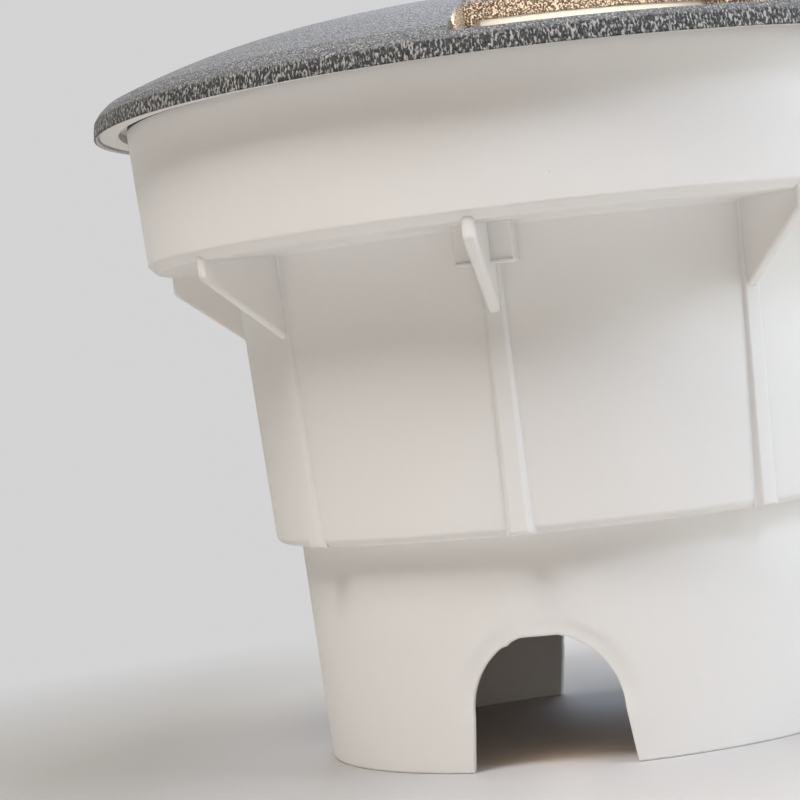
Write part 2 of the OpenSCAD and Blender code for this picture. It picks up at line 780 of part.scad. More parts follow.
module lamp_body() {
    color("gainsboro") difference() {
        union() {
            translate([0, 0, head_bottom]) cylinder(r = head_r - fin_inset, h = fin_h + 1);
            translate([0, 0, core_z]) cylinder(r = head_r, h = core_h + cup_h);
        }
        translate([0, 0, board_z]) cylinder(r = head_r - cup_wall, h = cup_h + 1);
        for (i = [0:fin_n - 1])
            translate([(i - (fin_n - 1) / 2) * fin_pitch - fin_gap / 2, -head_r, head_bottom - 1])
            cube([fin_gap, 2 * head_r, fin_h + 1]);
        for (s = [-1, 1]) translate([s * (head_r - pivot_depth), 0, tilt_z])
            rotate([0, s * 90, 0]) cylinder(r = pivot_r + run_gap, h = pivot_depth + 2);
    }
}

module led_board() {
    color("white") translate([0, 0, board_z])
        cylinder(r = head_r - cup_wall - pass_gap, h = board_t);
}

module led_chip() {
    color("khaki") translate([0, 0, board_z + board_t]) cylinder(r = chip_r, h = chip_t);
}

module reflector() {
    low = board_z + board_t;
    low_r = chip_r + reflector_gap;
    high_r = head_r - cup_wall - pass_gap;
    mouth_r = high_r - reflector_t;
    color("silver") rotate_extrude() polygon([
        [low_r, low], [low_r + reflector_foot, low], [high_r, cup_top - reflector_foot],
        [high_r, cup_top], [mouth_r, cup_top], [mouth_r, cup_top - reflector_foot * 2 / 3],
        [low_r, low + reflector_t]]);
}

module lamp_lens() {
    color([0.9, 0.92, 0.95, 0.5]) translate([0, 0, cup_top])
        cylinder(r = head_r - pass_gap, h = head_lens_t);
}

module lamp_bezel() {
    glass_top = cup_top + head_lens_t;
    color("dimgray") rotate_extrude() polygon([
        [head_r + run_gap, cup_top - bezel_grip], [bezel_r, cup_top - bezel_grip],
        [bezel_r, bezel_top - bezel_chamfer], [bezel_r - bezel_chamfer, bezel_top],
        [head_r - bezel_grip, bezel_top], [head_r - bezel_grip - bezel_over / 2, glass_top],
        [head_r + run_gap, glass_top]]);
}

module pivot_screws() {
    head_x = yoke_x + yoke_t + pass_gap;
    color("silver") for (s = [0, 180]) rotate([0, 0, s]) translate([0, 0, tilt_z]) difference() {
        union() {
            translate([head_r - pivot_depth + pivot_tip_gap, 0, 0]) rotate([0, 90, 0])
                cylinder(r = pivot_r, h = head_x - head_r + pivot_depth);
            translate([head_x, 0, 0]) rotate([0, 90, 0])
                cylinder(r = pivot_head_r, h = pivot_head_t);
        }
        translate([head_x + pivot_head_t * 0.4, 0, 0]) rotate([0, 90, 0])
            cylinder(r = pivot_key_r, h = pivot_head_t, $fn = 6);
    }
}

// Outline of the cover's outside, from the skirt's foot to the shoulder
function cover_outside() = [
    [cover_r, cover_low], [cover_r - 0.2, cover_low + 2.2],
    [cover_r - 0.7, flange_top - 0.7], [cover_r - 1.5, flange_top + 0.5]];

module cover_wall_turned() {
    rotate_extrude() polygon(concat(
        cover_outside(),
        crown_points(shoulder_r, 0, 0),
        crown_points(0, seat_in_r, cover_wall),
        [[seat_in_r, flange_top], [skirt_in_r - lip_round, flange_top],
         [skirt_in_r, flange_top - lip_round], [skirt_in_r, cover_low]]));
}

module cover_filled() {
    edge = cover_outside()[3];
    rotate_extrude() polygon(concat(
        [edge], crown_points(shoulder_r, 0, 0), [[0, flange_top], [edge[0], flange_top]]));
}

// Jamb wall in a radial plane; side is 1 on the window's near side and -1 on its far side
module jamb_wall(side) {
    clear_ring = clamp_top + jamb_clear;
    clear_head = flange_top + head_h + jamb_clear;
    ring_end = clamp_r + jamb_clear + pass_gap;
    head_end = hold_r + hold_head_r + jamb_clear + 1.1;
    translate([0, -side * jamb_t / 2, 0]) radial_plate([
        [jamb_in_r, clear_ring], [ring_end, clear_ring], [ring_end, clear_head],
        [head_end, clear_head], [head_end, flange_top + pass_gap],
        [cover_r, flange_top + pass_gap], [cover_r, crown_z], [jamb_in_r, crown_z]], jamb_t);
}

module window_cut() {
    difference() {
        translate([0, 0, sill_z]) linear_extrude(crown_z) polygon([
            [0, 0], [far, 0], [far * cos(window_span), far * sin(window_span)]]);
        translate([0, 0, sill_z - 1]) cylinder(r = window_in_r, h = crown_z + 2);
    }
}

module cover() {
    color(coat_grey) difference() {
        union() {
            cover_wall_turned();
            intersection() {
                cover_filled();
                union() {
                    around(window_n, window_from) jamb_wall(1);
                    around(window_n, window_from + window_span) jamb_wall(-1);
                    around(2, cover_screw_from) translate([cover_screw_at, 0, flange_top])
                        cylinder(r = cover_pillar_r, h = cover_rise);
                }
            }
        }
        around(window_n, window_from) window_cut();
        around(2, cover_screw_from) translate([cover_screw_at, 0, flange_top - 1])
            cylinder(r = cover_screw_r + pass_gap, h = cover_rise);
        around(2, cover_screw_from) translate([cover_screw_at, 0, cover_seal_z])
            cylinder(r = cover_head_r + cover_head_gap, h = cover_rise);
    }
}

module cover_screws() {
    color("silver") around(2, cover_screw_from) translate([cover_screw_at, 0, 0])
        hanging_screw(cover_head_z, cover_screw_r, cover_screw_l, cover_head_r, cover_head_h,
                      cover_key_w);
}

module cover_screw_seals() {
    color("black") around(2, cover_screw_from) translate([cover_screw_at, 0, 0])
        ring(cover_head_r, cover_screw_r + pocket_gap, cover_seal_z, seal_t);
}

sleeve();
pocket_nuts();
flange_gasket();
lamp_housing();
hold_down_screws();
lens_gasket();
glass_lens();
lens_clamp_ring();
clamp_screws();
cover_inserts();
cable_gland();
gland_nut();
gland_seal();
gland_cap();
driver();
driver_screws();
terminal_block();
driver_leads();
turntable_retainer();
turntable();
yoke_brackets();
bracket_screws();
pan_lock_screw();
lamp_body();
led_board();
led_chip();
reflector();
lamp_lens();
lamp_bezel();
pivot_screws();
cover();
cover_screws();
cover_screw_seals();
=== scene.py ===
"""In-ground spotlight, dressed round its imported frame.

Lengths are millimetres while a piece is being shaped, and metres once it is a mesh. A direction
round the upright axis is an angle from the front arch, which faces -Y, and grows towards +X.
"""

import logging
import math
from dataclasses import dataclass, field
from enum import Enum
from typing import Iterable, Sequence

import bmesh
import bpy
from mathutils import Matrix, Vector, noise


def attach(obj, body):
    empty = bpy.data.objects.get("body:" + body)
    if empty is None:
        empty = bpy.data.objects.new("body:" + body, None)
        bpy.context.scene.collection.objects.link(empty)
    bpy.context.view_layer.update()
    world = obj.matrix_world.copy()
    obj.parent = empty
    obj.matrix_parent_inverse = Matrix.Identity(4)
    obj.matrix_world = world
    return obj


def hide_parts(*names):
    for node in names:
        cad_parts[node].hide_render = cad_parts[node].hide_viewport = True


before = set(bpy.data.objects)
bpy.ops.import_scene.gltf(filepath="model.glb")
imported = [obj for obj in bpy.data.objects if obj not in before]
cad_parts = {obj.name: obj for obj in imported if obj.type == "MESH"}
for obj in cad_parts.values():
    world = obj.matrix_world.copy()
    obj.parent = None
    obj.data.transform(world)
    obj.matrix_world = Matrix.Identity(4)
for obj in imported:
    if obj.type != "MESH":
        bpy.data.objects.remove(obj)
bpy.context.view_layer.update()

log = logging.getLogger("spotlight")

MM = 0.001
TINY = 1e-6
FULL_TURN = 360.0
MOST_OF_SIDE = 0.48
Pair = tuple[float, float]
Triple = tuple[float, float, float]
Colour = tuple[float, float, float]
Station = tuple[float, float, float, float]
Band = tuple[float, float, int, float]
Socket = bpy.types.NodeSocket
Thing = bpy.types.Object


class Body(Enum):
    """The moving bodies that new pieces and lamps ride on."""

    SLEEVE = "sleeve"
    HOUSING = "housing"
    COVER = "cover"


class Slot(Enum):
    """The finishes that the record names."""

    SLEEVE_PLASTIC = "sleeve_plastic"
    COVER_COAT = "cover_coat"
    GLASS = "glass"
    RUBBER = "rubber"
    STAINLESS = "stainless"
    CLAMP_METAL = "clamp_metal"
    BRASS = "brass"
    GLAND_PLASTIC = "gland_plastic"
    DRIVER_CASE = "driver_case"
    TERMINAL_PLASTIC = "terminal_plastic"
    LEAD_BROWN = "lead_brown"
    HEAT_SINK = "heat_sink"
    BOARD_MASK = "board_mask"
    CHIP_PHOSPHOR = "chip_phosphor"
    REFLECTOR_MIRROR = "reflector_mirror"


class Marks(Enum):
    """The way a metal's tool marks run."""

    ROUND = "round"
    NONE = "none"


def turned_by(azimuth: float) -> Matrix:
    """Return the turn that carries local +Y outward to a direction round the axis, in degrees."""
    return Matrix.Rotation(math.pi + math.radians(azimuth), 4, "Z")


def on_ring(radius: float, angle: float, height: float) -> Triple:
    """Return the point at a radius, an angle round the axis in radians, and a height."""
    return radius * math.sin(angle), -radius * math.cos(angle), height


def rounded(corners: Sequence[Triple], closed: bool = True, steps: int = 5) -> list[Pair]:
    """Round the corners of an outline.

    Args:
        corners: Each corner's two coordinates and its rounding radius.
        closed: Whether the last corner joins the first.
        steps: Segments in each rounding.

    Returns:
        The outline's points, in the same order.
    """
    points: list[Pair] = []
    last = len(corners) - 1
    for i, (x, y, radius) in enumerate(corners):
        if radius <= 0 or (not closed and i in (0, last)):
            points.append((x, y))
            continue
        here = Vector((x, y))
        before = Vector(corners[i - 1][:2]) - here
        after = Vector(corners[(i + 1) % len(corners)][:2]) - here
        half = before.angle(after) / 2
        reach = min(radius / math.tan(half), MOST_OF_SIDE * before.length,
                    MOST_OF_SIDE * after.length)
        radius = reach * math.tan(half)
        middle = (before.normalized() + after.normalized()).normalized()
        centre = here + middle * (radius / math.sin(half))
        start = here + before.normalized() * reach - centre
        end = here + after.normalized() * reach - centre
        turn = math.atan2(start.x * end.y - start.y * end.x, start.dot(end))
        for step in range(steps + 1):
            arm = Matrix.Rotation(turn * step / steps, 2) @ start
            points.append((centre.x + arm.x, centre.y + arm.y))
    return points


def along(start: float, end: float, gap: float) -> list[float]:
    """Return evenly spread values from start to end, both kept, no further apart than gap."""
    count = max(1, math.ceil(abs(end - start) / gap))
    return [start + (end - start) * i / count for i in range(count + 1)]


def spaced(points: Sequence[Pair], gap: float) -> list[Pair]:
    """Add points along an open outline so that none are further apart than a gap.

    Args:
        points: The outline.
        gap: The widest step allowed.

    Returns:
        The outline with the points added.
    """
    filled: list[Pair] = [points[0]]
    for (x0, y0), (x1, y1) in zip(points, points[1:]):
        count = max(1, math.ceil(math.hypot(x1 - x0, y1 - y0) / gap))
        filled += [(x0 + (x1 - x0) * i / count, y0 + (y1 - y0) * i / count)
                   for i in range(1, count + 1)]
    return filled


class Skin:
    """Points and faces of a piece, in millimetres, before it becomes a mesh."""

    weld = 0.002

    def __init__(self) -> None:
        """Start with nothing."""
        self.points: list[Triple] = []
        self.faces: list[tuple[int, ...]] = []

    def row(self, points: Iterable[Triple]) -> list[int]:
        """Add points and return their numbers."""
        first = len(self.points)
        self.points.extend(points)
        return list(range(first, len(self.points)))

    def strip(self, one: Sequence[int], two: Sequence[int], closed: bool = False) -> None:
        """Fill between two rows of the same length with quads.

        Args:
            one: Numbers of the first row's points.
            two: Numbers of the second row's points.
            closed: Whether the rows are rings.
        """
        count = len(one)
        for i in range(count if closed else count - 1):
            j = (i + 1) % count
            self.faces.append((one[i], one[j], two[j], two[i]))

    def zipped(self, one: Sequence[int], one_at: Sequence[float],
               two: Sequence[int], two_at: Sequence[float]) -> None:
        """Fill between two rings whose points stand at different directions, with triangles.

        Args:
            one: Numbers of the first ring's points.
            one_at: Their directions, rising from the same start.
            two: Numbers of the second ring's points.
            two_at: Their directions, rising from the same start.
        """
        def following(at: Sequence[float], i: int) -> float:
            """Return the direction after a ring's point, or one past all others."""
            if i >= len(at):
                return math.inf
            return at[i + 1] if i + 1 < len(at) else FULL_TURN + at[0]

        i = j = 0
        while i < len(one) or j < len(two):
            a, b = one[i % len(one)], two[j % len(two)]
            if following(one_at, i) <= following(two_at, j):
                i += 1
                self.faces.append((a, one[i % len(one)], b))
            else:
                j += 1
                self.faces.append((a, two[j % len(two)], b))

    def lathe(self, outline: Sequence[Pair], around: int) -> None:
        """Turn a closed outline of radius and height round the upright axis, in segments."""
        rings = [self.row(on_ring(radius, 2 * math.pi * i / around, height)
                          for i in range(around)) for radius, height in outline]
        for i, ring in enumerate(rings):
            self.strip(ring, rings[(i + 1) % len(rings)], closed=True)

    def sweep(self, sections: Sequence[Sequence[Triple]]) -> None:
        """Join closed sections of the same length into a solid with capped ends."""
        rings = [self.row(section) for section in sections]
        for one, two in zip(rings, rings[1:]):
            self.strip(one, two, closed=True)
        self.faces.append(tuple(rings[0]))
        self.faces.append(tuple(reversed(rings[-1])))

    def plate(self, outline: Sequence[Pair], thickness: float, soft: float, steps: int = 4) -> None:
        """Add an upright plate in the local YZ plane with all of its edges rounded.

        Args:
            outline: The plate's corners, as distance outward and height.
            thickness: Its thickness across local X.
            soft: The rounding of its edges.
            steps: Segments in that rounding.
        """
        form = bmesh.new()
        face = form.faces.new([form.verts.new((-thickness / 2, y, z)) for y, z in outline])
        grown = bmesh.ops.extrude_face_region(form, geom=[face])["geom"]
        moved = [item for item in grown if isinstance(item, bmesh.types.BMVert)]
        bmesh.ops.translate(form, verts=moved, vec=(thickness, 0, 0))
        bmesh.ops.bevel(form, geom=list(form.edges), offset=soft, segments=steps, profile=0.5,
                        affect="EDGES", clamp_overlap=True)
        form.verts.index_update()
        first = len(self.points)
        self.points.extend(tuple(vertex.co) for vertex in form.verts)
        self.faces.extend(tuple(first + vertex.index for vertex in face.verts)
                          for face in form.faces)
        form.free()

    def place(self, other: "Skin", where: Matrix) -> "Skin":
        """Add a copy of another skin, moved by a matrix, and return this one."""
        first = len(self.points)
        self.points.extend(tuple(where @ Vector(point)) for point in other.points)
        self.faces.extend(tuple(first + i for i in face) for face in other.faces)
        return self

    def shifted(self, across: float, outward: float) -> "Skin":
        """Return a copy moved along local X and Y."""
        return Skin().place(self, Matrix.Translation((across, outward, 0)))

    def piece(self, name: str, sharp: float = 38.0) -> Thing:
        """Make the mesh, in metres, and put it in the scene.

        Args:
            name: The piece's name.
            sharp: Edges that turn more than this many degrees shade as edges.

        Returns:
            The new object.
        """
        mesh = bpy.data.meshes.new(name)
        mesh.from_pydata([(x * MM, y * MM, z * MM) for x, y, z in self.points], [], self.faces)
        form = bmesh.new()
        form.from_mesh(mesh)
        bmesh.ops.remove_doubles(form, verts=form.verts, dist=self.weld * MM)
        bmesh.ops.recalc_face_normals(form, faces=form.faces)
        for face in form.faces:
            face.smooth = True
        form.to_mesh(mesh)
        form.free()
        mesh.set_sharp_from_angle(angle=math.radians(sharp))
        return shown(bpy.data.objects.new(name, mesh))


def shown(thing: Thing) -> Thing:
    """Put an object in the scene and return it."""
    bpy.context.scene.collection.objects.link(thing)
    return thing


def keep_normals(piece: Thing) -> None:
    """Let large faces decide how a piece's rounded edges shade."""
    piece.modifiers.new("even_shading", "WEIGHTED_NORMAL").keep_sharp = True


def cut_by(piece: Thing, cutter: Thing) -> None:
    """Cut one piece by another, keep the result as its mesh and remove the cutter."""
    cut = piece.modifiers.new("cut", "BOOLEAN")
    cut.operation = "DIFFERENCE"
    cut.object = cutter
    cut.solver = "MANIFOLD"
    result = piece.evaluated_get(bpy.context.evaluated_depsgraph_get())
    mesh = bpy.data.meshes.new_from_object(result)
    piece.modifiers.clear()
    piece.data = mesh
    bpy.data.objects.remove(cutter)


def dress(piece: Thing, finish: bpy.types.Material, body: Body, node: str) -> None:
    """Give a new piece its finish and its body, and hide the frame's node that it stands for.

    Args:
        piece: The piece, already in place.
        finish: Its material.
        body: The body it rides on.
        node: The frame's node that it replaces.
    """
    piece.data.materials.clear()
    piece.data.materials.append(finish)
    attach(piece, body.value)
    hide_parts(node)
    log.info("%s rides on %s, %d faces", piece.name, body.value, len(piece.data.polygons))


def hang(data: bpy.types.Light, place: Vector, facing: Vector) -> Thing:
    """Hang a lamp that the camera doesn't see.

    Args:
        data: The lamp's own settings.
        place: Where it hangs, in metres.
        facing: The way that it faces.

    Returns:
        The lamp.
    """
    lamp = bpy.data.objects.new(data.name, data)
    lamp.location = place
    lamp.rotation_mode = "QUATERNION"
    lamp.rotation_quaternion = facing.to_track_quat("-Z", "Y")
    lamp.visible_camera = False
    return shown(lamp)


class Nodes:
    """A node tree, with short calls for the kinds of node that this script uses."""

    mix_factor, mix_one, mix_two, mix_result = 0, 6, 7, 2

    def __init__(self, tree: bpy.types.NodeTree) -> None:
        """Empty a tree and take it over."""
        self.tree = tree
        tree.nodes.clear()

    def put(self, node: bpy.types.Node, name: str | int, value: object) -> None:
        """Set an input, or link it if the value is a socket; a colour gets its alpha."""
        target = node.inputs[name]
        if isinstance(value, Socket):
            self.tree.links.new(value, target)
        else:
            target.default_value = (*value, 1) if target.type == "RGBA" else value

    def node(self, kind: str, **inputs: object) -> bpy.types.Node:
        """Add a node and set its inputs; an underscore in a name stands for a space."""
        made = self.tree.nodes.new(f"ShaderNode{kind}")
        for name, value in inputs.items():
            self.put(made, name.replace("_", " "), value)
        return made

    def maths(self, kind: str, one: object, two: object = 0.0, three: object = 0.0,
              clamp: bool = False) -> Socket:
        """Return one arithmetic step on sockets or numbers."""
        node = self.node("Math")
        node.operation = kind
        node.use_clamp = clamp
        for place, value in enumerate((one, two, three)):
            self.put(node, place, value)
        return node.outputs[0]

    def times(self, one: object, two: object) -> Socket:
        """Return a product."""
        return self.maths("MULTIPLY", one, two)

    def scaled(self, value: object, factor: object, more: object, clamp: bool = False) -> Socket:
        """Return a value times a factor, and more added."""
        return self.maths("MULTIPLY_ADD", value, factor, more, clamp)

    def ray(self, kind: str) -> Socket:
        """Return whether a ray is of a kind."""
        return self.node("LightPath").outputs[f"Is {kind} Ray"]

    def looked_at(self) -> Socket:
        """Return whether a ray only shows things: to the camera, in a gloss or through glass."""
        direct = self.maths("MAXIMUM", self.ray("Camera"), self.ray("Glossy"))
        return self.maths("MAXIMUM", direct, self.ray("Transmission"))

    def mixed(self, share: Socket, one: bpy.types.Node, two: bpy.types.Node) -> Socket:
        """Return a mix of two shaders."""
        node = self.node("MixShader")
        for place, value in enumerate((share, one.outputs[0], two.outputs[0])):
            self.put(node, place, value)
        return node.outputs[0]


class Recipe(Nodes):
    """A material's nodes, with the patterns that the finishes use."""

    def __init__(self, name: str) -> None:
        """Start a material with only a shader and an output."""
        self.material = bpy.data.materials.new(name)
        self.material.use_nodes = True
        super().__init__(self.material.node_tree)
        self.shader = self.node("BsdfPrincipled")
        self.output = self.node("OutputMaterial", Surface=self.shader.outputs[0])
        self.place = self.node("TexCoord").outputs["Object"]

    def surface(self, **values: object) -> None:
        """Set inputs of the shader; an underscore in a name stands for a space."""
        for name, value in values.items():
            self.put(self.shader, name.replace("_", " "), value)

    def stretched(self, x: float, y: float, z: float) -> Socket:
        """Return the surface's place, scaled along each axis."""
        return self.node("Mapping", Vector=self.place, Scale=(x, y, z)).outputs[0]

    def split(self) -> tuple[Socket, Socket, Socket]:
        """Return the surface's place as three numbers, in metres."""
        x, y, z = self.node("SeparateXYZ", Vector=self.place).outputs
        return x, y, z

    def radius(self) -> Socket:
        """Return the distance from the upright axis, in metres."""
        x, y, _ = self.split()
        return self.maths("SQRT", self.scaled(x, x, self.times(y, y)))

    def cloud(self, size: float, detail: float = 2.0, rough: float = 0.5,
              where: Socket | None = None) -> Socket:
        """Return soft noise whose patches are about size millimetres wide."""
        return self.node("TexNoise", Vector=where or self.place, Scale=1.0 / (size * MM),
                         Detail=detail, Roughness=rough).outputs["Fac"]

    def cells(self, size: float, feature: str = "F1") -> Socket:
        """Return the distance in cells that are about size millimetres wide."""
        node = self.node("TexVoronoi", Vector=self.place, Scale=1.0 / (size * MM))
        node.feature = feature
        return node.outputs["Distance"]

    def ramp(self, value: Socket, *stops: Pair) -> Socket:
        """Return a value remapped through grey stops, each a place and a level."""
        node = self.node("ValToRGB")
        self.put(node, 0, value)
        marks = node.color_ramp.elements
        while len(marks) < len(stops):
            marks.new(0.5)
        for mark, (place, level) in zip(marks, stops):
            mark.position = place
            mark.color = (level, level, level, 1)
        return node.outputs[0]

    def patches(self, low: float, high: float, *cloud: object) -> Socket:
        """Return noise cut into patches: none below the low level, full above the high one."""
        return self.ramp(self.cloud(*cloud), (low, 0.0), (high, 1.0))

    def blend(self, share: Socket, one: object, two: object) -> Socket:
        """Return a colour mixed from two colours or sockets."""
        node = self.node("Mix")
        node.data_type = "RGBA"
        self.put(node, self.mix_factor, share)
        self.put(node, self.mix_one, one)
        self.put(node, self.mix_two, two)
        return node.outputs[self.mix_result]

    def relief(self, height: Socket, depth: float, strength: float = 1.0,
               below: Socket | None = None) -> Socket:
        """Return a normal bent by a height map that is depth millimetres deep."""
        node = self.node("Bump", Height=height, Distance=depth * MM, Strength=strength)
        if below is not None:
            self.put(node, "Normal", below)
        return node.outputs[0]


@dataclass(frozen=True)
class Dome:
    """The cover's outer form, which its mesh and its coating share."""

    top: float = 169.5
    shoulder_r: float = 99.4
    shoulder_z: float = 154.9
    power: float = 2.9
    crease_z: float = 151.9

    def at(self, radius: float) -> float:
        """Return the height of the outside at a radius."""
        return self.top - (self.top - self.shoulder_z) * (radius / self.shoulder_r) ** self.power


@dataclass(frozen=True)
class Finish:
    """The look of a surface."""

    name: str

    def paint(self, recipe: Recipe) -> None:
        """Fill in the material's nodes."""
        raise NotImplementedError

    def made(self) -> bpy.types.Material:
        """Build the material."""
        recipe = Recipe(self.name)
        self.paint(recipe)
        return recipe.material


@dataclass(frozen=True)
class MouldedPlastic(Finish):
    """Moulded plastic: a soft gloss over faint flow marks, specks and scratches."""

    colour: Colour
    shade: Colour
    speck: Colour = (0.20, 0.17, 0.14)
    roughness: float = 0.42
    speck_cell: float = 9.0
    speck_size: float = 0.018
    peel: float = 0.010
    bleed: float = 0.12
    bleed_depth: float = 1.5
    bleed_reach: Triple = (1.0, 0.8, 0.65)

    def paint(self, recipe: Recipe) -> None:
        """Lay flow marks and specks over the colour, and scratches into the gloss."""
        flow = recipe.patches(0.30, 0.72, 46.0, 3.0)
        drag = recipe.patches(0.35, 0.70, 5.0, 2.0, 0.5, recipe.stretched(1.0, 1.0, 0.18))
        base = recipe.blend(flow, self.colour, self.shade)
        base = recipe.blend(recipe.times(drag, 0.25), base, self.shade)
        spot = recipe.ramp(recipe.cells(self.speck_cell), (0.0, 1.0), (self.speck_size, 0.0))
        few = recipe.patches(0.50, 0.56, 21.0, 1.0)
        base = recipe.blend(recipe.times(recipe.times(spot, few), 0.75), base, self.speck)
        scratch = recipe.patches(0.66, 0.74, 1.1, 2.0, 0.6, recipe.stretched(1.0, 1.0, 0.03))
        normal = recipe.relief(recipe.cloud(0.9), self.peel)
        normal = recipe.relief(recipe.cloud(16.0, 1.0), 0.12, 0.6, normal)
        normal = recipe.relief(scratch, 0.012, 1.0, normal)
        rough = recipe.scaled(recipe.cloud(7.0, 3.0), 0.16, self.roughness - 0.08)
        rough = recipe.scaled(scratch, 0.10, rough)
        recipe.surface(Base_Color=base, Roughness=rough, Normal=normal, IOR=1.49,
                       Subsurface_Weight=self.bleed, Subsurface_Scale=self.bleed_depth * MM,
                       Subsurface_Radius=self.bleed_reach)


@dataclass(frozen=True)
class CastCoating(Finish):
    """Coarse coating on a casting: mottled crown, a rim darkened by painted shade and flecked with
    painted glints, and window walls gold with painted warm lamplight.
    """

    dome: Dome
    crown_dark: Colour = (0.075, 0.077, 0.083)
    crown_middle: Colour = (0.175, 0.178, 0.186)
    crown_light: Colour = (0.430, 0.430, 0.430)
    # Painted shade: the rim's coat is coloured darker than the crown's, and its bright flecks are
    # painted glints.
    rim_painted_shade_dark: Colour = (0.014, 0.014, 0.014)
    rim_painted_shade_middle: Colour = (0.062, 0.061, 0.061)
    rim_painted_glint: Colour = (0.560, 0.550, 0.530)
    # Painted warm lamplight: gold glints on a brown ground on the walls inside each window.
    recess_painted_lamplight_ground: Colour = (0.055, 0.041, 0.031)
    recess_painted_lamplight_glint: Colour = (0.600, 0.500, 0.390)
    # Bare metal inside the skirt, also painted pale so that the shaded gap under the rim looks
    # lighter.
    bare_and_painted_fill: Colour = (0.640, 0.640, 0.640)
    skin: float = 0.9
    sill_z: float = 153.6
    bare_fill_r: float = 102.1
    bare_fill_z: float = 150.8
    grain: float = 0.42
    clump: float = 1.3
    # Size of the flecks, which bump the rim and also carry its painted glints.
    speck: float = 0.60
    # Size of the painted lamplight glints in the windows.
    glint: float = 0.38
    wander: float = 3.2
    roughness: float = 0.58

    def paint(self, recipe: Recipe) -> None:
        """Colour the crown, the rim with painted shade and painted glints, the windows' walls with
        painted warm lamplight, and the bare inside, painted pale also to lift its shade, zone by
        zone.
        """
        height = recipe.maths("DIVIDE", recipe.split()[2], MM)
        away = recipe.maths("DIVIDE", recipe.radius(), MM)
        grains = recipe.cloud(self.grain, 2.5, 0.6)
        clumps = recipe.cloud(self.clump)
        # Flecks that bump the rim and also mark where its painted glints go.
        fleck_bumps_and_glints = recipe.patches(0.49, 0.64, self.speck, 1.5, 0.5,
                                recipe.stretched(1.3, 1.3, 0.62))
        wander = recipe.scaled(clumps, self.wander, -self.wander / 2)
        over = recipe.maths("SUBTRACT", recipe.maths("ADD", height, wander), self.dome.crease_z)
        upper = recipe.scaled(over, 1.3, 0.5, clamp=True)
        ground = recipe.ramp(grains, (0.36, 0.0), (0.56, 1.0))
        crest = recipe.ramp(grains, (0.52, 0.0), (0.66, 1.0))
        crown = recipe.blend(ground, self.crown_dark, self.crown_middle)
        crown = recipe.blend(recipe.times(crest, 0.8), crown, self.crown_light)
        # Painted shade: the rim's side is given a darker coat than the crown.
        rim = recipe.blend(ground, self.rim_painted_shade_dark, self.rim_painted_shade_middle)
        # Painted glints: bright flecks scattered over the rim.
        rim = recipe.blend(recipe.times(fleck_bumps_and_glints, 0.8), rim, self.rim_painted_glint)
        # The rim's painted shade shows below the wandering crease, and the crown above it.
        base = recipe.blend(upper, rim, crown)
        # Painted warm lamplight on the walls inside each window.
        base = recipe.blend(self.recess(recipe, height, away), base,
                            recipe.blend(recipe.patches(0.47, 0.64, self.glint, 1.5, 0.5),
                                         self.recess_painted_lamplight_ground, self.recess_painted_lamplight_glint))
        # The skirt's bare inside, painted pale also to lift the shade of the gap.
        under = recipe.times(recipe.maths("LESS_THAN", away, self.bare_fill_r),
                             recipe.maths("LESS_THAN", height, self.bare_fill_z))
        base = recipe.blend(under, base, self.bare_and_painted_fill)
        normal = recipe.relief(grains, 0.16)
        normal = recipe.relief(clumps, 0.30, 0.9, normal)
        normal = recipe.relief(fleck_bumps_and_glints, 0.14, 0.9, normal)
        rough = recipe.scaled(clumps, 0.22, self.roughness - 0.11)
        recipe.surface(Base_Color=base, Roughness=rough, Normal=normal, Metallic=0.10,
                       Specular_IOR_Level=0.35)

    def recess(self, recipe: Recipe, height: Socket, away: Socket) -> Socket:
        """Return where the painted warm lamplight goes: inside the dome's outer skin and above the
        sills.
        """
        dome = self.dome
        fall = recipe.maths("POWER", recipe.maths("DIVIDE", away, dome.shoulder_r), dome.power)
        roof = recipe.scaled(fall, dome.shoulder_z - dome.top, dome.top - self.skin)
        inside = recipe.times(recipe.maths("LESS_THAN", height, roof),
                              recipe.maths("GREATER_THAN", height, self.sill_z))
        return recipe.times(inside, recipe.maths("LESS_THAN", away, dome.shoulder_r - self.skin))


@dataclass(frozen=True)
class WorkedMetal(Finish):
    """Bare metal with the marks of its making and a little tarnish."""

    colour: Colour
    tarnish: Colour
    roughness: float = 0.28
    marks: Marks = Marks.ROUND
    mark_depth: float = 0.012
    grain: float = 0.35
    bareness: float = 1.0

    def paint(self, recipe: Recipe) -> None:
        """Draw the tool marks and stain the metal between them."""
        if self.marks is Marks.ROUND:
            lines = recipe.cloud(self.grain, 3.0, 0.6, recipe.stretched(0.35, 0.35, 6.0))
        else:
            lines = recipe.cloud(self.grain, 3.0, 0.7)
        stain = recipe.patches(0.42, 0.70, 9.0, 4.0, 0.6)
        base = recipe.blend(recipe.times(stain, 0.6), self.colour, self.tarnish)
        base = recipe.blend(recipe.times(lines, 0.18), base, self.tarnish)
        rough = recipe.scaled(lines, 0.18, self.roughness - 0.09)
        rough = recipe.scaled(stain, 0.10, rough)
        recipe.surface(Base_Color=base, Roughness=rough, Metallic=self.bareness,
                       Normal=recipe.relief(lines, self.mark_depth))


@dataclass(frozen=True)
class SoftRubber(Finish):
    """Dull moulded rubber with a dusty bloom."""

    colour: Colour = (0.022, 0.021, 0.020)
    bloom: Colour = (0.085, 0.080, 0.074)
    roughness: float = 0.78

    def paint(self, recipe: Recipe) -> None:
        """Dust the rubber."""
        dust = recipe.patches(0.42, 0.78, 3.5, 4.0, 0.65)
        recipe.surface(Base_Color=recipe.blend(dust, self.colour, self.bloom),
                       Roughness=recipe.scaled(dust, 0.12, self.roughness),
                       Normal=recipe.relief(recipe.cloud(0.5), 0.02), Sheen_Weight=0.08)


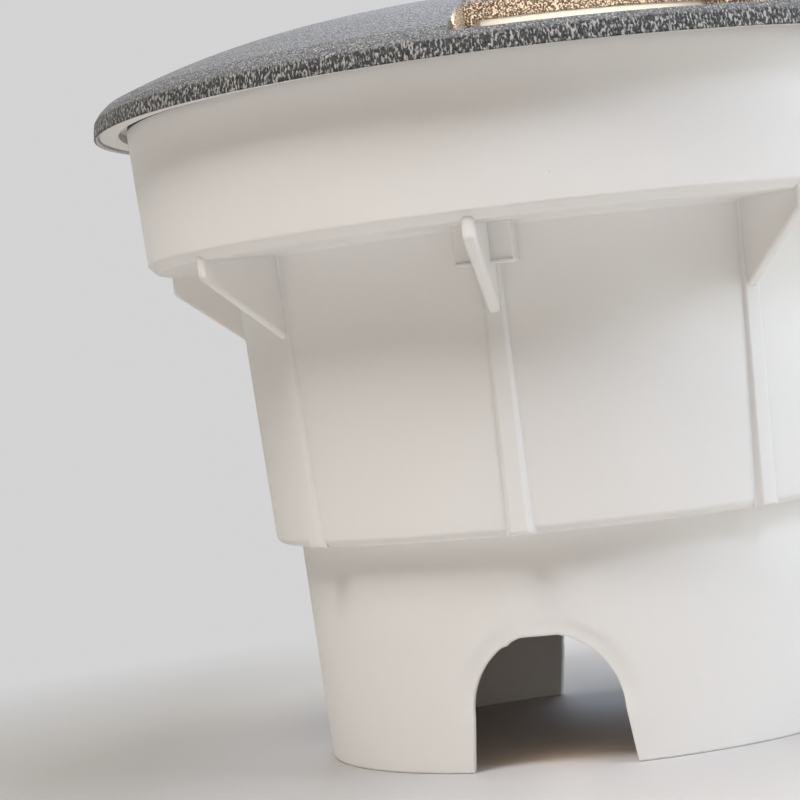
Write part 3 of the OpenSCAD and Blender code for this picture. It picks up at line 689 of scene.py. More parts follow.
@dataclass(frozen=True)
class PressedGlass(Finish):
    """Clear pressed glass with a faint ripple, which carries the lamp's light in its edge."""

    colour: Colour = (0.96, 0.975, 0.96)
    glow: Colour = (1.0, 0.78, 0.52)
    glow_strength: float = 0.9
    glow_fade_r: float = 46.0
    glow_full_r: float = 50.0
    middle_share: float = 0.15
    ripple: float = 0.02

    def paint(self, recipe: Recipe) -> None:
        """Ripple the glass and light its edge; the ramp's places are radii over 100 mm."""
        edge = recipe.ramp(recipe.times(recipe.radius(), 10.0),
                           (self.glow_fade_r / 100, self.middle_share),
                           (self.glow_full_r / 100, 1.0))
        recipe.surface(Base_Color=self.colour, IOR=1.50, Transmission_Weight=1.0,
                       Roughness=recipe.scaled(recipe.cloud(4.0, 3.0), 0.05, 0.01),
                       Normal=recipe.relief(recipe.cloud(6.0, 1.0), self.ripple),
                       Emission_Color=self.glow,
                       Emission_Strength=recipe.times(edge, self.glow_strength))


@dataclass(frozen=True)
class BoardMask(Finish):
    """White solder mask over copper tracks, with a fine weave beneath."""

    colour: Colour = (0.80, 0.81, 0.80)
    track: Colour = (0.68, 0.70, 0.69)

    def paint(self, recipe: Recipe) -> None:
        """Draw the tracks under the mask."""
        tracks = recipe.ramp(recipe.cells(6.0, "DISTANCE_TO_EDGE"), (0.05, 1.0), (0.09, 0.0))
        recipe.surface(Base_Color=recipe.blend(tracks, self.colour, self.track),
                       Roughness=recipe.scaled(recipe.cloud(2.0, 3.0), 0.15, 0.30),
                       Normal=recipe.relief(tracks, 0.03))


@dataclass(frozen=True)
class PhosphorGel(Finish):
    """Yellow phosphor gel of the lit chip, brighter over each die beneath it."""

    colour: Colour = (0.86, 0.62, 0.14)
    pale: Colour = (0.95, 0.78, 0.36)
    glow: Colour = (1.0, 0.70, 0.36)
    strength: float = 2.4

    def paint(self, recipe: Recipe) -> None:
        """Light the gel over the dies."""
        dies = recipe.ramp(recipe.cells(1.6), (0.10, 1.0), (0.55, 0.55))
        recipe.surface(Base_Color=recipe.blend(dies, self.colour, self.pale), Roughness=0.25,
                       Normal=recipe.relief(recipe.cloud(1.5), 0.03), Emission_Color=self.glow,
                       Emission_Strength=recipe.times(dies, self.strength))


@dataclass
class BurialSleeve:
    """The white moulded sleeve: stepped wall, wide band, gussets, ribs, arches, nut pockets."""

    height: float = 149.0
    wall: float = 3.0
    foot_r: float = 62.6
    skirt_h: float = 50.9
    skirt_top_r: float = 64.6
    mid_bottom_r: float = 70.2
    mid_top_r: float = 73.5
    band_z: float = 116.3
    band_bottom_r: float = 93.2
    band_top_r: float = 94.9
    band_chamfer: float = 1.9
    rib_n: int = 8
    rib_w: float = 5.7
    rib_top_w: float = 4.3
    rib_face_w: float = 3.5
    rib_proud: float = 1.15
    rib_top_proud: float = 0.40
    rib_toe_h: float = 0.7
    rib_toe_sink: float = 0.6
    rib_root: float = 1.4
    gusset_t: float = 2.8
    gusset_r: float = 92.2
    gusset_edge_h: float = 4.0
    gusset_foot_z: float = 97.4
    arch_half: float = 17.9
    arch_shoulder: float = 16.5
    arch_round: float = 17.2
    arch_h: float = 28.7
    arch_spring: float = 12.0
    dent_depth: float = 0.38
    dent_from: float = 1.4
    dent_fade: float = 2.2
    dent_low: float = 11.0
    dent_rise: float = 6.0
    burr_h: float = 0.35
    burr_w: float = 0.7
    burr_at: float = 7.3
    burr_low: float = 20.0
    sink_depth: float = 0.16
    sink_h: float = 9.0
    sink_w: float = 1.3
    pocket_w: float = 12.6
    pocket_low: float = 107.7
    pocket_face_r: float = 78.4
    pocket_lip: float = 0.7
    column_at: float = 74.0
    column_r: float = 4.0
    column_n: int = 48
    bore_r: float = 2.25
    around: int = 480
    foot_steps: int = 4
    foot_gap: float = 2.0
    arch_zone: int = 36
    arch_steps: int = 60
    arch_gap: float = 0.5
    arch_rings: int = 11
    lip_steps: int = 5
    fillet_steps: int = 5
    fillet_gap: float = 4.0
    fillet_root: float = 0.4
    row_gap: float = 3.7
    zone_top: float = 34.0
    foot_round: float = 0.5
    lip_round: float = 0.45
    fillet: float = 0.55
    buried: float = 0.3
    ridge_h: float = 0.45
    ridge_w: float = 0.28

    def foot_radius(self, z: float) -> float:
        """Return the outer radius of the foot skirt at a height."""
        return self.foot_r + (self.skirt_top_r - self.foot_r) * z / self.skirt_h

    def mid_radius(self, z: float) -> float:
        """Return the outer radius of the middle wall at a height."""
        share = (z - self.skirt_h) / (self.band_z - self.skirt_h)
        return self.mid_bottom_r + (self.mid_top_r - self.mid_bottom_r) * share

    def foot_levels(self) -> list[Triple]:
        """Return height, outer radius and inner radius of each row of the foot, upward."""
        levels = []
        for step in range(self.foot_steps + 1):
            angle = math.pi / 2 * step / self.foot_steps
            inset = self.foot_round * (1 - math.sin(angle))
            z = self.foot_round * (1 - math.cos(angle))
            levels.append((z, self.foot_r - inset, self.foot_r - self.wall + inset))
        for z in along(self.foot_round, self.zone_top, self.foot_gap)[1:]:
            outer = self.foot_radius(z)
            levels.append((z, outer, outer - self.wall))
        return levels

    def upper_outline(self) -> list[Pair]:
        """Return the wall's section above the arches, from outside over the top to inside."""
        top_z = self.zone_top
        outer = self.foot_radius(top_z)
        bottom, top = self.band_bottom_r, self.band_top_r
        wall = self.wall
        corners = [
            (outer, top_z, 0.0), (self.skirt_top_r, self.skirt_h, 0.7),
            (self.mid_bottom_r, self.skirt_h, 2.0), (self.mid_top_r, self.band_z, 0.9),
            (bottom - self.band_chamfer, self.band_z, 1.2),
            (bottom, self.band_z + self.band_chamfer, 1.2), (top, self.height + self.ridge_h, 0.12),
            (top - self.ridge_w, self.height + self.ridge_h, 0.1),
            (top - self.ridge_w, self.height, 0.0),
            (top - wall, self.height, 0.4), (bottom - wall, self.band_z + wall, 1.0),
            (self.mid_top_r - wall, self.band_z + wall, 1.0),
            (self.mid_bottom_r - wall, self.skirt_h + wall, 1.0),
            (self.skirt_top_r - wall, self.skirt_h + wall, 1.0), (outer - wall, top_z, 0.0)]
        return spaced(rounded(corners, closed=False), self.row_gap)

    def arch_path(self) -> list[Station]:
        """Return the arch's edge as place and outward normal, across and upward, left to right."""
        spring, wide, tall = self.arch_spring, self.arch_shoulder, self.arch_round
        left = [(-self.arch_half + (self.arch_half - wide) * z / spring, z, -1.0, 0.0)
                for z in along(0.0, spring, self.arch_gap)]
        for step in range(1, self.arch_steps + 1):
            angle = math.pi - math.pi / 2 * step / self.arch_steps
            z = spring + tall * math.sin(angle)
            if z > self.arch_h:
                break
            across = Vector((math.cos(angle) / wide, math.sin(angle) / tall)).normalized()
            left.append((wide * math.cos(angle), z, across.x, across.y))
        flat = -left[-1][0]
        middle = [(x, self.arch_h, 0.0, 1.0) for x in along(-flat, flat, self.arch_gap)]
        right = [(-x, z, -nx, nz) for x, z, nx, nz in reversed(left)]
        return left + middle + right

    def arch_stations(self, count: int, levels: Sequence[Triple]) -> list[Station]:
        """Spread the arch's edge over a number of stations, level with the foot's rows on its legs.

        Args:
            count: How many stations to return.
            levels: The foot's rows.

        Returns:
            Place and outward normal of each station.
        """
        path = self.arch_path()
        spring = self.arch_spring
        legs = [z for z, _, _ in levels if z < spring - 1.0]
        slope = (self.arch_half - self.arch_shoulder) / spring
        left = [(-self.arch_half + slope * z, z, -1.0, 0.0) for z in legs]
        start = legs[-1]
        rest = [p for p in path if p[1] > start + 0.01]
        rest = [left[-1], *rest, (-left[-1][0], start, 1.0, 0.0)]
        reach = [0.0]
        for one, two in zip(rest, rest[1:]):
            reach.append(reach[-1] + math.hypot(two[0] - one[0], two[1] - one[1]))
        inner = count - 2 * len(left)
        middle = []
        at = 0
        for step in range(1, inner + 1):
            want = reach[-1] * step / (inner + 1)
            while reach[at + 1] < want:
                at += 1
            share = (want - reach[at]) / (reach[at + 1] - reach[at])
            middle.append(tuple(a + (b - a) * share for a, b in zip(rest[at], rest[at + 1])))
        return left + middle + [(-x, z, -nx, nz) for x, z, nx, nz in reversed(left)]

    def dent(self, away: float, z: float, upward: float) -> float:
        """Return how far the wall sinks beside an arch's edge.

        Args:
            away: Distance from the edge.
            z: Height of the place.
            upward: How much the edge there faces upward, from 0 to 1.
        """
        near = 1 - min(1.0, max(0.0, (away - self.dent_from) / self.dent_fade))
        high = min(1.0, max(0.0, (z - self.dent_low) / self.dent_rise))
        return self.dent_depth * near * near * (3 - 2 * near) * high * (1 - 0.75 * upward ** 6)

    def arch_skin(self, levels: Sequence[Triple], burr: float) -> Skin:
        """Build the foot's wall round one arch, facing local +Y, with rounded lips.

        Args:
            levels: The foot's rows.
            burr: Height of the trimming burr that hangs into the opening near its top.
        """
        skin = Skin()
        step = FULL_TURN / self.around
        high = len(levels) - 1
        border = [(-self.arch_zone * step, i) for i in range(high + 1)]
        border += [(i * step, high) for i in range(1 - self.arch_zone, self.arch_zone)]
        border += [(self.arch_zone * step, i) for i in range(high, -1, -1)]
        stations = self.arch_stations(len(border), levels)
        sides = []
        for outside in (True, False):
            wall = 0.0 if outside else self.wall
            rows = []
            for (azimuth, level), (x, z, nx, nz) in zip(border, stations):
                z_level, outer, inner = levels[level]
                leg = abs(z - z_level) < TINY and nz == 0.0
                row = []
                if z > self.burr_low:
                    z -= burr * math.exp(-((x - self.burr_at) / self.burr_w) ** 2)
                lip_x, lip_z = x + nx * self.lip_round, z + nz * self.lip_round
                leg_r = outer if outside else inner
                lip_r = leg_r if leg else self.foot_radius(lip_z) - wall
                lip_azimuth = math.degrees(math.asin(lip_x / lip_r))
                for ring in range(self.arch_rings):
                    share = ring / self.arch_rings
                    at = math.radians(azimuth + (lip_azimuth - azimuth) * share)
                    height = z_level + (lip_z - z_level) * share
                    radius = leg_r if leg else self.foot_radius(height) - wall
                    if outside:
                        away = math.hypot(radius * math.sin(at) - lip_x, height - lip_z)
                        radius -= self.dent(away, height, nz)
                    row.append((radius * math.sin(at), radius * math.cos(at), height))
                for turn in range(self.lip_steps + 1):
                    angle = math.pi / 2 * turn / self.lip_steps
                    out = self.lip_round * (1 - math.sin(angle))
                    depth = self.lip_round * (1 - math.cos(angle))
                    px, pz = x + nx * out, z + nz * out
                    radius = lip_r if leg else self.foot_radius(pz) - wall
                    radius -= self.dent(0.0, pz, nz) if outside else 0.0
                    y = math.sqrt(radius ** 2 - px ** 2)
                    row.append((px, y - depth if outside else y + depth, pz))
                rows.append(skin.row(row))
            for one, two in zip(rows, rows[1:]):
                skin.strip(one, two)
            sides.append(rows)
        outer_rows, inner_rows = sides
        skin.strip([row[-1] for row in outer_rows], [row[-1] for row in inner_rows])
        skin.strip(outer_rows[0], inner_rows[0])
        skin.strip(outer_rows[-1], inner_rows[-1])
        return skin

    def sink(self, azimuth: float, z: float) -> float:
        """Return how deep the mark under a rib sinks into the foot skirt there."""
        pitch = FULL_TURN / self.rib_n
        off = (azimuth + pitch / 2) % pitch - pitch / 2
        across = math.radians(off) * self.skirt_top_r / self.sink_w
        below = self.skirt_h - 1.0 - z
        if below < 0 or below > self.sink_h:
            return 0.0
        fade = (1 - below / self.sink_h) ** 0.7 * min(1.0, below / 0.8)
        return self.sink_depth * math.exp(-across * across) * fade

    def wall_skin(self) -> Skin:
        """Build the turned wall with both arches."""
        skin = Skin()
        levels = self.foot_levels()
        upper = self.upper_outline()
        outline = [(outer, z) for z, outer, _ in levels] + upper[1:-1]
        outline += [(inner, z) for z, _, inner in reversed(levels)]
        low = len(levels)
        foot_rows = {*range(low), *range(len(outline) - low, len(outline))}
        rings = []
        for number, (radius, z) in enumerate(outline):
            outside = number < len(outline) / 2
            ring = []
            for i in range(self.around):
                azimuth = FULL_TURN * i / self.around
                sunk = self.sink(azimuth, z) if outside else 0.0
                ring.append(on_ring(radius - sunk, math.radians(azimuth), z))
            rings.append(skin.row(ring))
        half = self.around // 2
        for number, one in enumerate(rings):
            two = rings[(number + 1) % len(rings)]
            foot = number in foot_rows and (number + 1) % len(rings) in foot_rows
            for i in range(self.around):
                off = min(i % half, half - i % half - 1)
                if foot and off < self.arch_zone:
                    continue
                j = (i + 1) % self.around
                skin.faces.append((one[i], one[j], two[j], two[i]))
        skin.place(self.arch_skin(levels, self.burr_h), turned_by(0))
        return skin.place(self.arch_skin(levels, 0.0), turned_by(180))

    def hollow(self, x: float, y: float, end: float) -> list[Pair]:
        """Return the round side of a fillet's section, about a centre, to an angle."""
        steps, size = self.fillet_steps, self.fillet
        angles = [math.pi + (end - math.pi) * step / steps for step in range(steps + 1)]
        return [(x + size * math.cos(angle), y + size * math.sin(angle)) for angle in angles]

    def wall_fillets(self, half: float, low: float, high: float) -> Skin:
        """Build the fillets between the middle wall and both sides of a plate.

        Args:
            half: Half the plate's thickness.
            low: The fillets' lower end.
            high: Their upper end.
        """
        skin = Skin()
        x = half + self.fillet
        for side in (-1, 1):
            sections = []
            for z in along(low, high, self.fillet_gap):
                wall_r = self.mid_radius(z)
                y = math.sqrt((wall_r + self.fillet) ** 2 - x * x)
                root = (half - self.buried, wall_r - self.fillet_root)
                end = math.atan2(-y, -x) % (2 * math.pi)
                sections.append([(px * side, py, z)
                                 for px, py in (root, *self.hollow(x, y, end))])
            skin.sweep(sections)
        return skin

    def roof_fillets(self, half: float, near: float, far: float) -> Skin:
        """Build the fillets between the band's underside and both sides of a plate."""
        skin = Skin()
        root = (half - self.buried, self.band_z + self.buried)
        arc = self.hollow(half + self.fillet, self.band_z - self.fillet, math.pi / 2)
        for side in (-1, 1):
            skin.sweep([[(x * side, y, z) for x, z in (root, *arc)] for y in (near, far)])
        return skin

    def rib_skin(self) -> Skin:
        """Build one low rib whose soft sides draw in and fade towards the band."""
        skin = Skin()
        sections = []
        low = self.skirt_h + 0.02
        for z in [low, low + 0.25, low + self.rib_toe_h,
                  *along(low + 1.2, self.band_z + self.buried, 3.0)]:
            share = (z - low) / (self.band_z - low)
            ease = math.sqrt(max(0.0, 1 - max(0.0, 1 - (z - low) / self.rib_toe_h) ** 2))
            proud = self.rib_proud + (self.rib_top_proud - self.rib_proud) * share
            proud -= self.rib_toe_sink * (1 - ease)
            foot = (self.rib_w + (self.rib_top_w - self.rib_w) * share) / 2
            wall_r = self.mid_radius(z)
            half = rounded([(foot + 0.5, -0.12, 0.0), (foot, 0.0, 0.7),
                            (self.rib_face_w / 2, proud, 0.8), (0.0, proud + 0.03, 0.0)],
                           closed=False, steps=6)
            across = half + [(-x, y) for x, y in reversed(half[:-1])]
            section = [(x, math.sqrt(max(0.0, wall_r ** 2 - x * x)) + y, z) for x, y in across]
            root = wall_r - self.rib_root
            sections.append([*section, (-foot, root, z), (foot, root, z)])
        skin.sweep(sections)
        return skin

    def gusset_skin(self) -> Skin:
        """Build one gusset over its rib, with fillets where they meet the wall."""
        skin = Skin()
        foot_z = self.gusset_foot_z
        foot_r = self.mid_radius(foot_z)
        inside = self.wall / 2
        roof = self.band_z + self.band_chamfer
        skin.plate([(foot_r - inside, foot_z), (foot_r + 0.3, foot_z),
                    (self.gusset_r, self.band_z - self.gusset_edge_h), (self.gusset_r, roof),
                    (self.mid_top_r - inside, roof)], self.gusset_t, 1.0)
        half = self.gusset_t / 2
        for part in (self.rib_skin(), self.wall_fillets(half, foot_z, self.band_z),
                     self.roof_fillets(half, self.mid_top_r, self.gusset_r - self.rib_root)):
            skin.place(part, Matrix())
        return skin

    def pocket_skin(self) -> Skin:
        """Build one nut pocket's block with the lip along its lower edge."""
        skin = Skin()
        inner = self.mid_radius(self.pocket_low) - self.wall / 2
        roof = self.band_z + self.wall / 2
        low = self.pocket_low + 0.2
        skin.plate([(inner, low), (self.pocket_face_r, low),
                    (self.pocket_face_r, roof), (inner, roof)], self.pocket_w - 0.1, 0.35)
        lip_r = self.pocket_face_r + self.pocket_lip
        skin.plate([(inner, self.pocket_low), (lip_r, self.pocket_low),
                    (lip_r, self.pocket_low + self.pocket_lip),
                    (inner, self.pocket_low + self.pocket_lip)], self.pocket_w, 0.22, 3)
        return skin

    def column_skin(self) -> Skin:
        """Build the upright column round a hold-down screw, standing on the band's floor."""
        skin = Skin()
        foot = self.band_z + 2
        skin.lathe(rounded([(self.bore_r, foot, 0.0), (self.column_r, foot, 0.0),
                            (self.column_r, self.height, 0.4),
                            (self.bore_r, self.height, 0.3)]), self.column_n)
        return skin.shifted(0, self.column_at)

    def build(self, plastic: bpy.types.Material) -> None:
        """Make the sleeve and dress it."""
        skin = self.wall_skin()
        gusset = self.gusset_skin()
        for i in range(self.rib_n):
            skin.place(gusset, turned_by(FULL_TURN * i / self.rib_n))
        for azimuth in (0, 180):
            skin.place(self.pocket_skin(), turned_by(azimuth))
            skin.place(self.column_skin(), turned_by(azimuth))
        piece = skin.piece("burial_sleeve")
        keep_normals(piece)
        dress(piece, plastic, Body.SLEEVE, "sleeve")


@dataclass
class CastCover:
    """The cast cover: crowned dome, coarse rim, two side windows between jamb walls."""

    dome: Dome
    outer_r: float = 102.5
    low: float = 148.4
    wall: float = 3.4
    seat_z: float = 152.9
    seat_in_r: float = 87.0
    skirt_in_r: float = 101.5
    skirt_chamfer: float = 2.0
    rim_knee_z: float = 153.3
    rim_low_z: float = 150.3
    sill_z: float = 153.3
    sill_r: float = 101.1
    eave_drop: float = 1.1
    eave_lip: float = 0.6
    window_in_r: float = 78.5
    window_from: float = 1.0
    window_span: float = 43.0
    jamb_t: float = 3.0
    jamb_in_r: float = 60.0
    jamb_top_z: float = 160.0
    jamb_knee_r: float = 71.0
    jamb_knee_z: float = 155.8
    jamb_foot_r: float = 79.1
    jamb_foot_z: float = 153.2
    jamb_reach: float = 3.4
    jamb_roof: float = 0.6
    jamb_soft: float = 0.3
    jamb_lap: float = 0.04
    cheek_t: float = 2.4
    cheek_in_r: float = 71.2
    cheek_out_r: float = 79.0
    cheek_low: float = 156.0
    cheek_roof: float = 0.8
    cheek_lap: float = 0.4
    screw_at: float = 84.0
    screw_azimuth: float = 112.5
    pillar_r: float = 6.4
    counterbore_r: float = 4.4
    counterbore_z: float = 155.5
    bore_r: float = 2.3
    edge_round: float = 0.5
    fine_step: float = 0.6
    jamb_steps: Sequence[float] = (0.06, 0.14, 0.24, 0.36)
    crown_gap: float = 0.85
    edge_gap: float = 0.75
    rim_gap: float = 0.55
    pillar_n: int = 64
    top_bands: Sequence[Band] = ((50.0, 28.0, 420, 0.8), (28.0, 14.0, 280, 0.65),
                                 (14.0, 6.0, 150, 0.6), (6.0, 0.4, 64, 0.6))
    roof_bands: Sequence[Band] = ((76.6, 30.0, 180, 4.0), (30.0, 2.0, 60, 5.0))
    grain_size: float = 1.5
    grain_depth: float = 0.11
    dome_share: float = 0.6
    edges: list[float] = field(init=False)
    columns: list[float] = field(init=False)

    def __post_init__(self) -> None:
        """Set the directions of the windows' jambs, and of all columns, closer at the jambs."""
        self.edges = [self.window_from + half + span for half in (0, 180)
                      for span in (0, self.window_span)]
        fine = {round(i * self.fine_step, 4) for i in range(int(FULL_TURN / self.fine_step))}
        for number, edge in enumerate(self.edges):
            away = -1 if number % 2 == 0 else 1
            fine.update(round((edge + away * off) % FULL_TURN, 4) for off in self.jamb_steps)
            fine.add(round(edge, 4))
        self.columns = sorted(fine)

    def in_window(self, azimuth: float) -> bool:
        """Return whether a direction lies in one of the windows."""
        return 0 < (azimuth - self.window_from) % 180 < self.window_span

    def softened(self, radius: float, azimuth: float) -> float:
        """Return how far the dome's edge is rounded down beside a window's jamb."""
        if self.in_window(azimuth) or radius < self.window_in_r - 1.0:
            return 0.0
        near = min(abs((azimuth - edge + 180) % FULL_TURN - 180) for edge in self.edges)
        off = math.radians(near) * radius
        if off >= self.edge_round:
            return 0.0
        return self.edge_round - math.sqrt(self.edge_round ** 2 - (self.edge_round - off) ** 2)

    def coarse(self, x: float, y: float, z: float, share: float) -> float:
        """Return how far the coarse coating lies below its highest grains."""
        size = self.grain_size
        value = noise.noise(Vector((x / size, y / size, z / size)))
        value += 0.5 * noise.noise(Vector((2.1 * x / size, 2.1 * y / size, 2.1 * z / size + 9)))
        return self.grain_depth * share * min(1.0, max(0.0, 0.5 - 0.5 * value))

    def outside(self) -> list[Pair]:
        """Return the outside's section, from the last coarse ring over the shoulder and rim."""
        dome = self.dome
        eave, end = self.window_in_r - self.eave_lip, dome.shoulder_r - 0.5
        radii = along(self.top_bands[0][0], eave, self.crown_gap)
        radii += along(eave, end, self.edge_gap)[1:]
        rim = rounded([(end, dome.at(end), 0.0), (dome.shoulder_r, dome.shoulder_z, 0.6),
                       (self.outer_r - 1.3, self.rim_knee_z, 0.8),
                       (self.outer_r - 0.35, dome.crease_z, 0.5),
                       (self.outer_r - 0.1, self.rim_low_z, 0.7),
                       (self.outer_r, self.low + 0.5, 0.0)], closed=False, steps=3)
        return [(r, dome.at(r)) for r in radii] + spaced(rim, self.rim_gap)[1:]

    def inside(self) -> list[Pair]:
        """Return the rest of the section: the skirt, the seat and the inside of the roof."""
        low, inner, chamfer = self.low, self.seat_in_r, self.skirt_chamfer
        skirt = rounded([(self.outer_r, low + 0.5, 0.0), (self.outer_r, low, 0.4),
                         (self.skirt_in_r, low, 0.35),
                         (self.skirt_in_r, self.seat_z - chamfer, 0.2),
                         (self.skirt_in_r - chamfer, self.seat_z, 0.2), (inner, self.seat_z, 0.3),
                         (inner, self.dome.at(inner) - self.wall, 0.3)], closed=False, steps=3)
        roof = [(r, self.dome.at(r) - self.wall)
                for r in along(inner, self.roof_bands[0][0], 2.0)]
        return skirt[1:] + roof[1:]

    def ring(self, radius: float, z: float, coated: bool) -> list[Triple]:
        """Return one ring of the shell, at a radius and height.

        Args:
            radius: The ring's radius.
            z: Its height.
            coated: Whether it's on the outside, which has the coating's relief.
        """
        points = []
        for azimuth in self.columns:
            at = math.radians(azimuth)
            height, r = z, radius
            if coated:
                share = 1.0 if radius > self.dome.shoulder_r - 1 else self.dome_share
                height -= self.softened(radius, azimuth) if z > self.sill_z + 0.8 else 0.0
                below = self.coarse(r * math.sin(at), r * math.cos(at), height, share)
                if radius > self.dome.shoulder_r:
                    r -= below
                else:
                    height -= below
            points.append(on_ring(r, at, height))
        return points

    def window_marks(self, section: Sequence[Pair], coated: int) -> tuple[int, int, int, int]:
        """Find where the section meets the windows.

        Args:
            section: The shell's section.
            coated: How many of its points are on the outside.

        Returns:
            Numbers of its points at the eave and sill outside, then at the sill and eave inside.
        """
        eave = self.window_in_r - self.eave_lip
        eave_out = next(i for i, (r, _) in enumerate(section) if abs(r - eave) < TINY)
        sill_out = next(i for i in range(coated) if section[i][1] < self.sill_z - 0.45)
        sill_in = next(i for i in range(coated, len(section))
                       if abs(section[i][0] - self.seat_in_r) < TINY
                       and section[i][1] > self.seat_z + 0.2)
        return eave_out, sill_out, sill_in, len(section) - 1

    def eave_path(self, start: Pair, end: Pair) -> list[Pair]:
        """Return the way round a window's eave, from the outside in."""
        radius = self.window_in_r
        roof = self.dome.at(radius)
        under = roof - self.wall - self.eave_drop
        return spaced(rounded([(*start, 0.0), (radius, roof, self.edge_round),
                               (radius, under, 0.5), (radius - 0.9, under, 0.3),
                               (radius - 1.3, roof - self.wall + 0.1, 0.2), (*end, 0.0)],
                              closed=False, steps=4)[1:-1], self.rim_gap)

    def sill_path(self, start: Pair, end: Pair) -> list[Pair]:
        """Return the way over a window's sill, from the outside in."""
        return rounded([(*start, 0.0), (self.sill_r, self.sill_z, 0.35),
                        (self.seat_in_r, self.sill_z, 0.2), (*end, 0.0)],
                       closed=False, steps=4)[1:-1]

    def edge_rows(self, skin: Skin, outer: Sequence[int], path: Sequence[Pair],
                  inner: Sequence[int], window: slice) -> list[Sequence[int]]:
        """Fill along an eave or a sill.

        Args:
            skin: The shell.
            outer: The ring that the edge leaves.
            path: The section of the edge.
            inner: The ring that it reaches.
            window: The columns of the window.

        Returns:
            The edge's rows, from the outside in.
        """
        at = [math.radians(azimuth) for azimuth in self.columns[window]]
        rows = [outer[window], *(skin.row(on_ring(radius, angle, z) for angle in at)
                                 for radius, z in path), inner[window]]
        for one, two in zip(rows, rows[1:]):
            skin.strip(one, two)
        return rows

    def shell(self) -> Skin:
        """Build the dome, rim and seat as one shell with both windows left open."""
        skin = Skin()
        section = self.outside()
        coated = len(section)
        section += self.inside()
        rings = [skin.row(self.ring(radius, z, number < coated))
                 for number, (radius, z) in enumerate(section)]
        marks = self.window_marks(section, coated)
        eave_out, sill_out, sill_in, eave_in = marks
        for i, azimuth in enumerate(self.columns):
            j = (i + 1) % len(self.columns)
            window = self.in_window((azimuth + (self.columns[j] if j else FULL_TURN)) / 2)
            for n, (one, two) in enumerate(zip(rings, rings[1:])):
                if not (window and (eave_out <= n < sill_out or sill_in <= n < eave_in)):
                    skin.faces.append((one[i], one[j], two[j], two[i]))
        eave = self.eave_path(section[eave_out], section[eave_in])
        sill = self.sill_path(section[sill_out], section[sill_in])
        for first in (0, 2):
            start, end = (self.columns.index(edge) for edge in self.edges[first:first + 2])
            window = slice(start, end + 1)
            eaves = self.edge_rows(skin, rings[eave_out], eave, rings[eave_in], window)
            sills = self.edge_rows(skin, rings[sill_out], sill, rings[sill_in], window)
            for side, column in ((0, start), (-1, end)):
                skin.faces.append((*(ring[column] for ring in rings[eave_out:sill_out + 1]),
                                   *(row[side] for row in sills[1:-1]),
                                   *(ring[column] for ring in rings[sill_in:eave_in + 1]),
                                   *(row[side] for row in reversed(eaves[1:-1]))))
        self.close_middle(skin, rings[0], 0.0, self.top_bands)
        self.close_middle(skin, rings[-1], self.wall, self.roof_bands)
        return skin

    def close_middle(self, skin: Skin, last: Sequence[int], drop: float,
                     bands: Sequence[Band]) -> None:
        """Fill the dome's middle with rings of fewer and fewer points.

        Args:
            skin: The shell.
            last: The ring to start from.
            drop: How far the rings lie below the outside; at none they have the relief.
            bands: Radius from and to, points in a ring, and widest gap between rings.
        """
        last_at = self.columns
        for outer, inner, count, gap in bands:
            directions = [FULL_TURN * i / count for i in range(count)]
            for radius in along(outer, inner, gap)[1:]:
                points = []
                for azimuth in directions:
                    x, y, z = on_ring(radius, math.radians(azimuth), self.dome.at(radius) - drop)
                    z -= self.coarse(x, -y, z, self.dome_share) if drop == 0.0 else 0.0
                    points.append((x, y, z))
                this = skin.row(points)
                if len(this) == len(last):
                    skin.strip(last, this, closed=True)
                else:
                    skin.zipped(last, last_at, this, directions)
                last, last_at = this, directions
        skin.faces.append(tuple(last))

    def jamb_skin(self, side: int) -> Skin:
        """Build the wall beside a window; side is 1 at its near jamb and -1 at its far one."""
        wall, cheek = Skin(), Skin()
        reach = self.outer_r - self.jamb_reach
        under = [(r, self.dome.at(r) - self.jamb_roof) for r in along(reach, self.jamb_in_r, 6.0)]
        wall.plate([(self.jamb_in_r, self.jamb_top_z), (self.jamb_knee_r, self.jamb_top_z),
                    (self.jamb_knee_r, self.jamb_knee_z), (self.jamb_foot_r, self.jamb_knee_z),
                    (self.jamb_foot_r, self.jamb_foot_z), (reach, self.jamb_foot_z), *under],
                   self.jamb_t, self.jamb_soft, 3)
        near, far = self.cheek_in_r, self.cheek_out_r
        cheek.plate([(near, self.cheek_low), (far, self.cheek_low),
                     (far, self.dome.at(far) - self.cheek_roof),
                     (near, self.dome.at(near) - self.cheek_roof)],
                    self.cheek_t, self.jamb_soft, 3)
        both = wall.shifted(side * (self.jamb_t / 2 - self.jamb_lap), 0)
        inward = -side * (self.cheek_t / 2 - self.cheek_lap)
        return both.place(cheek, Matrix.Translation((inward, 0, 0)))

    def pillar_skin(self) -> Skin:
        """Build the pillar under one cover screw."""
        skin = Skin()
        roof = self.dome.at(self.screw_at) - 1.4
        skin.lathe(rounded([(0.0, self.seat_z, 0.0), (self.pillar_r, self.seat_z, 0.3),
                            (self.pillar_r, roof, 0.0), (0.0, roof, 0.0)]), self.pillar_n)
        return skin.shifted(0, self.screw_at)

    def drill(self, piece: Thing) -> None:
        """Cut the stepped bores of both cover screws."""
        high = self.dome.top + 2
        bore, bores = Skin(), Skin()
        bore.lathe([(0.0, self.seat_z - 2), (self.bore_r, self.seat_z - 2),
                    (self.bore_r, self.counterbore_z), (self.counterbore_r, self.counterbore_z),
                    (self.counterbore_r, high), (0.0, high)], self.pillar_n)
        for half in (0, 180):
            bores.place(bore, turned_by(self.screw_azimuth + half)
                        @ Matrix.Translation((0, self.screw_at, 0)))
        cut_by(piece, bores.piece("cover_screw_bores"))

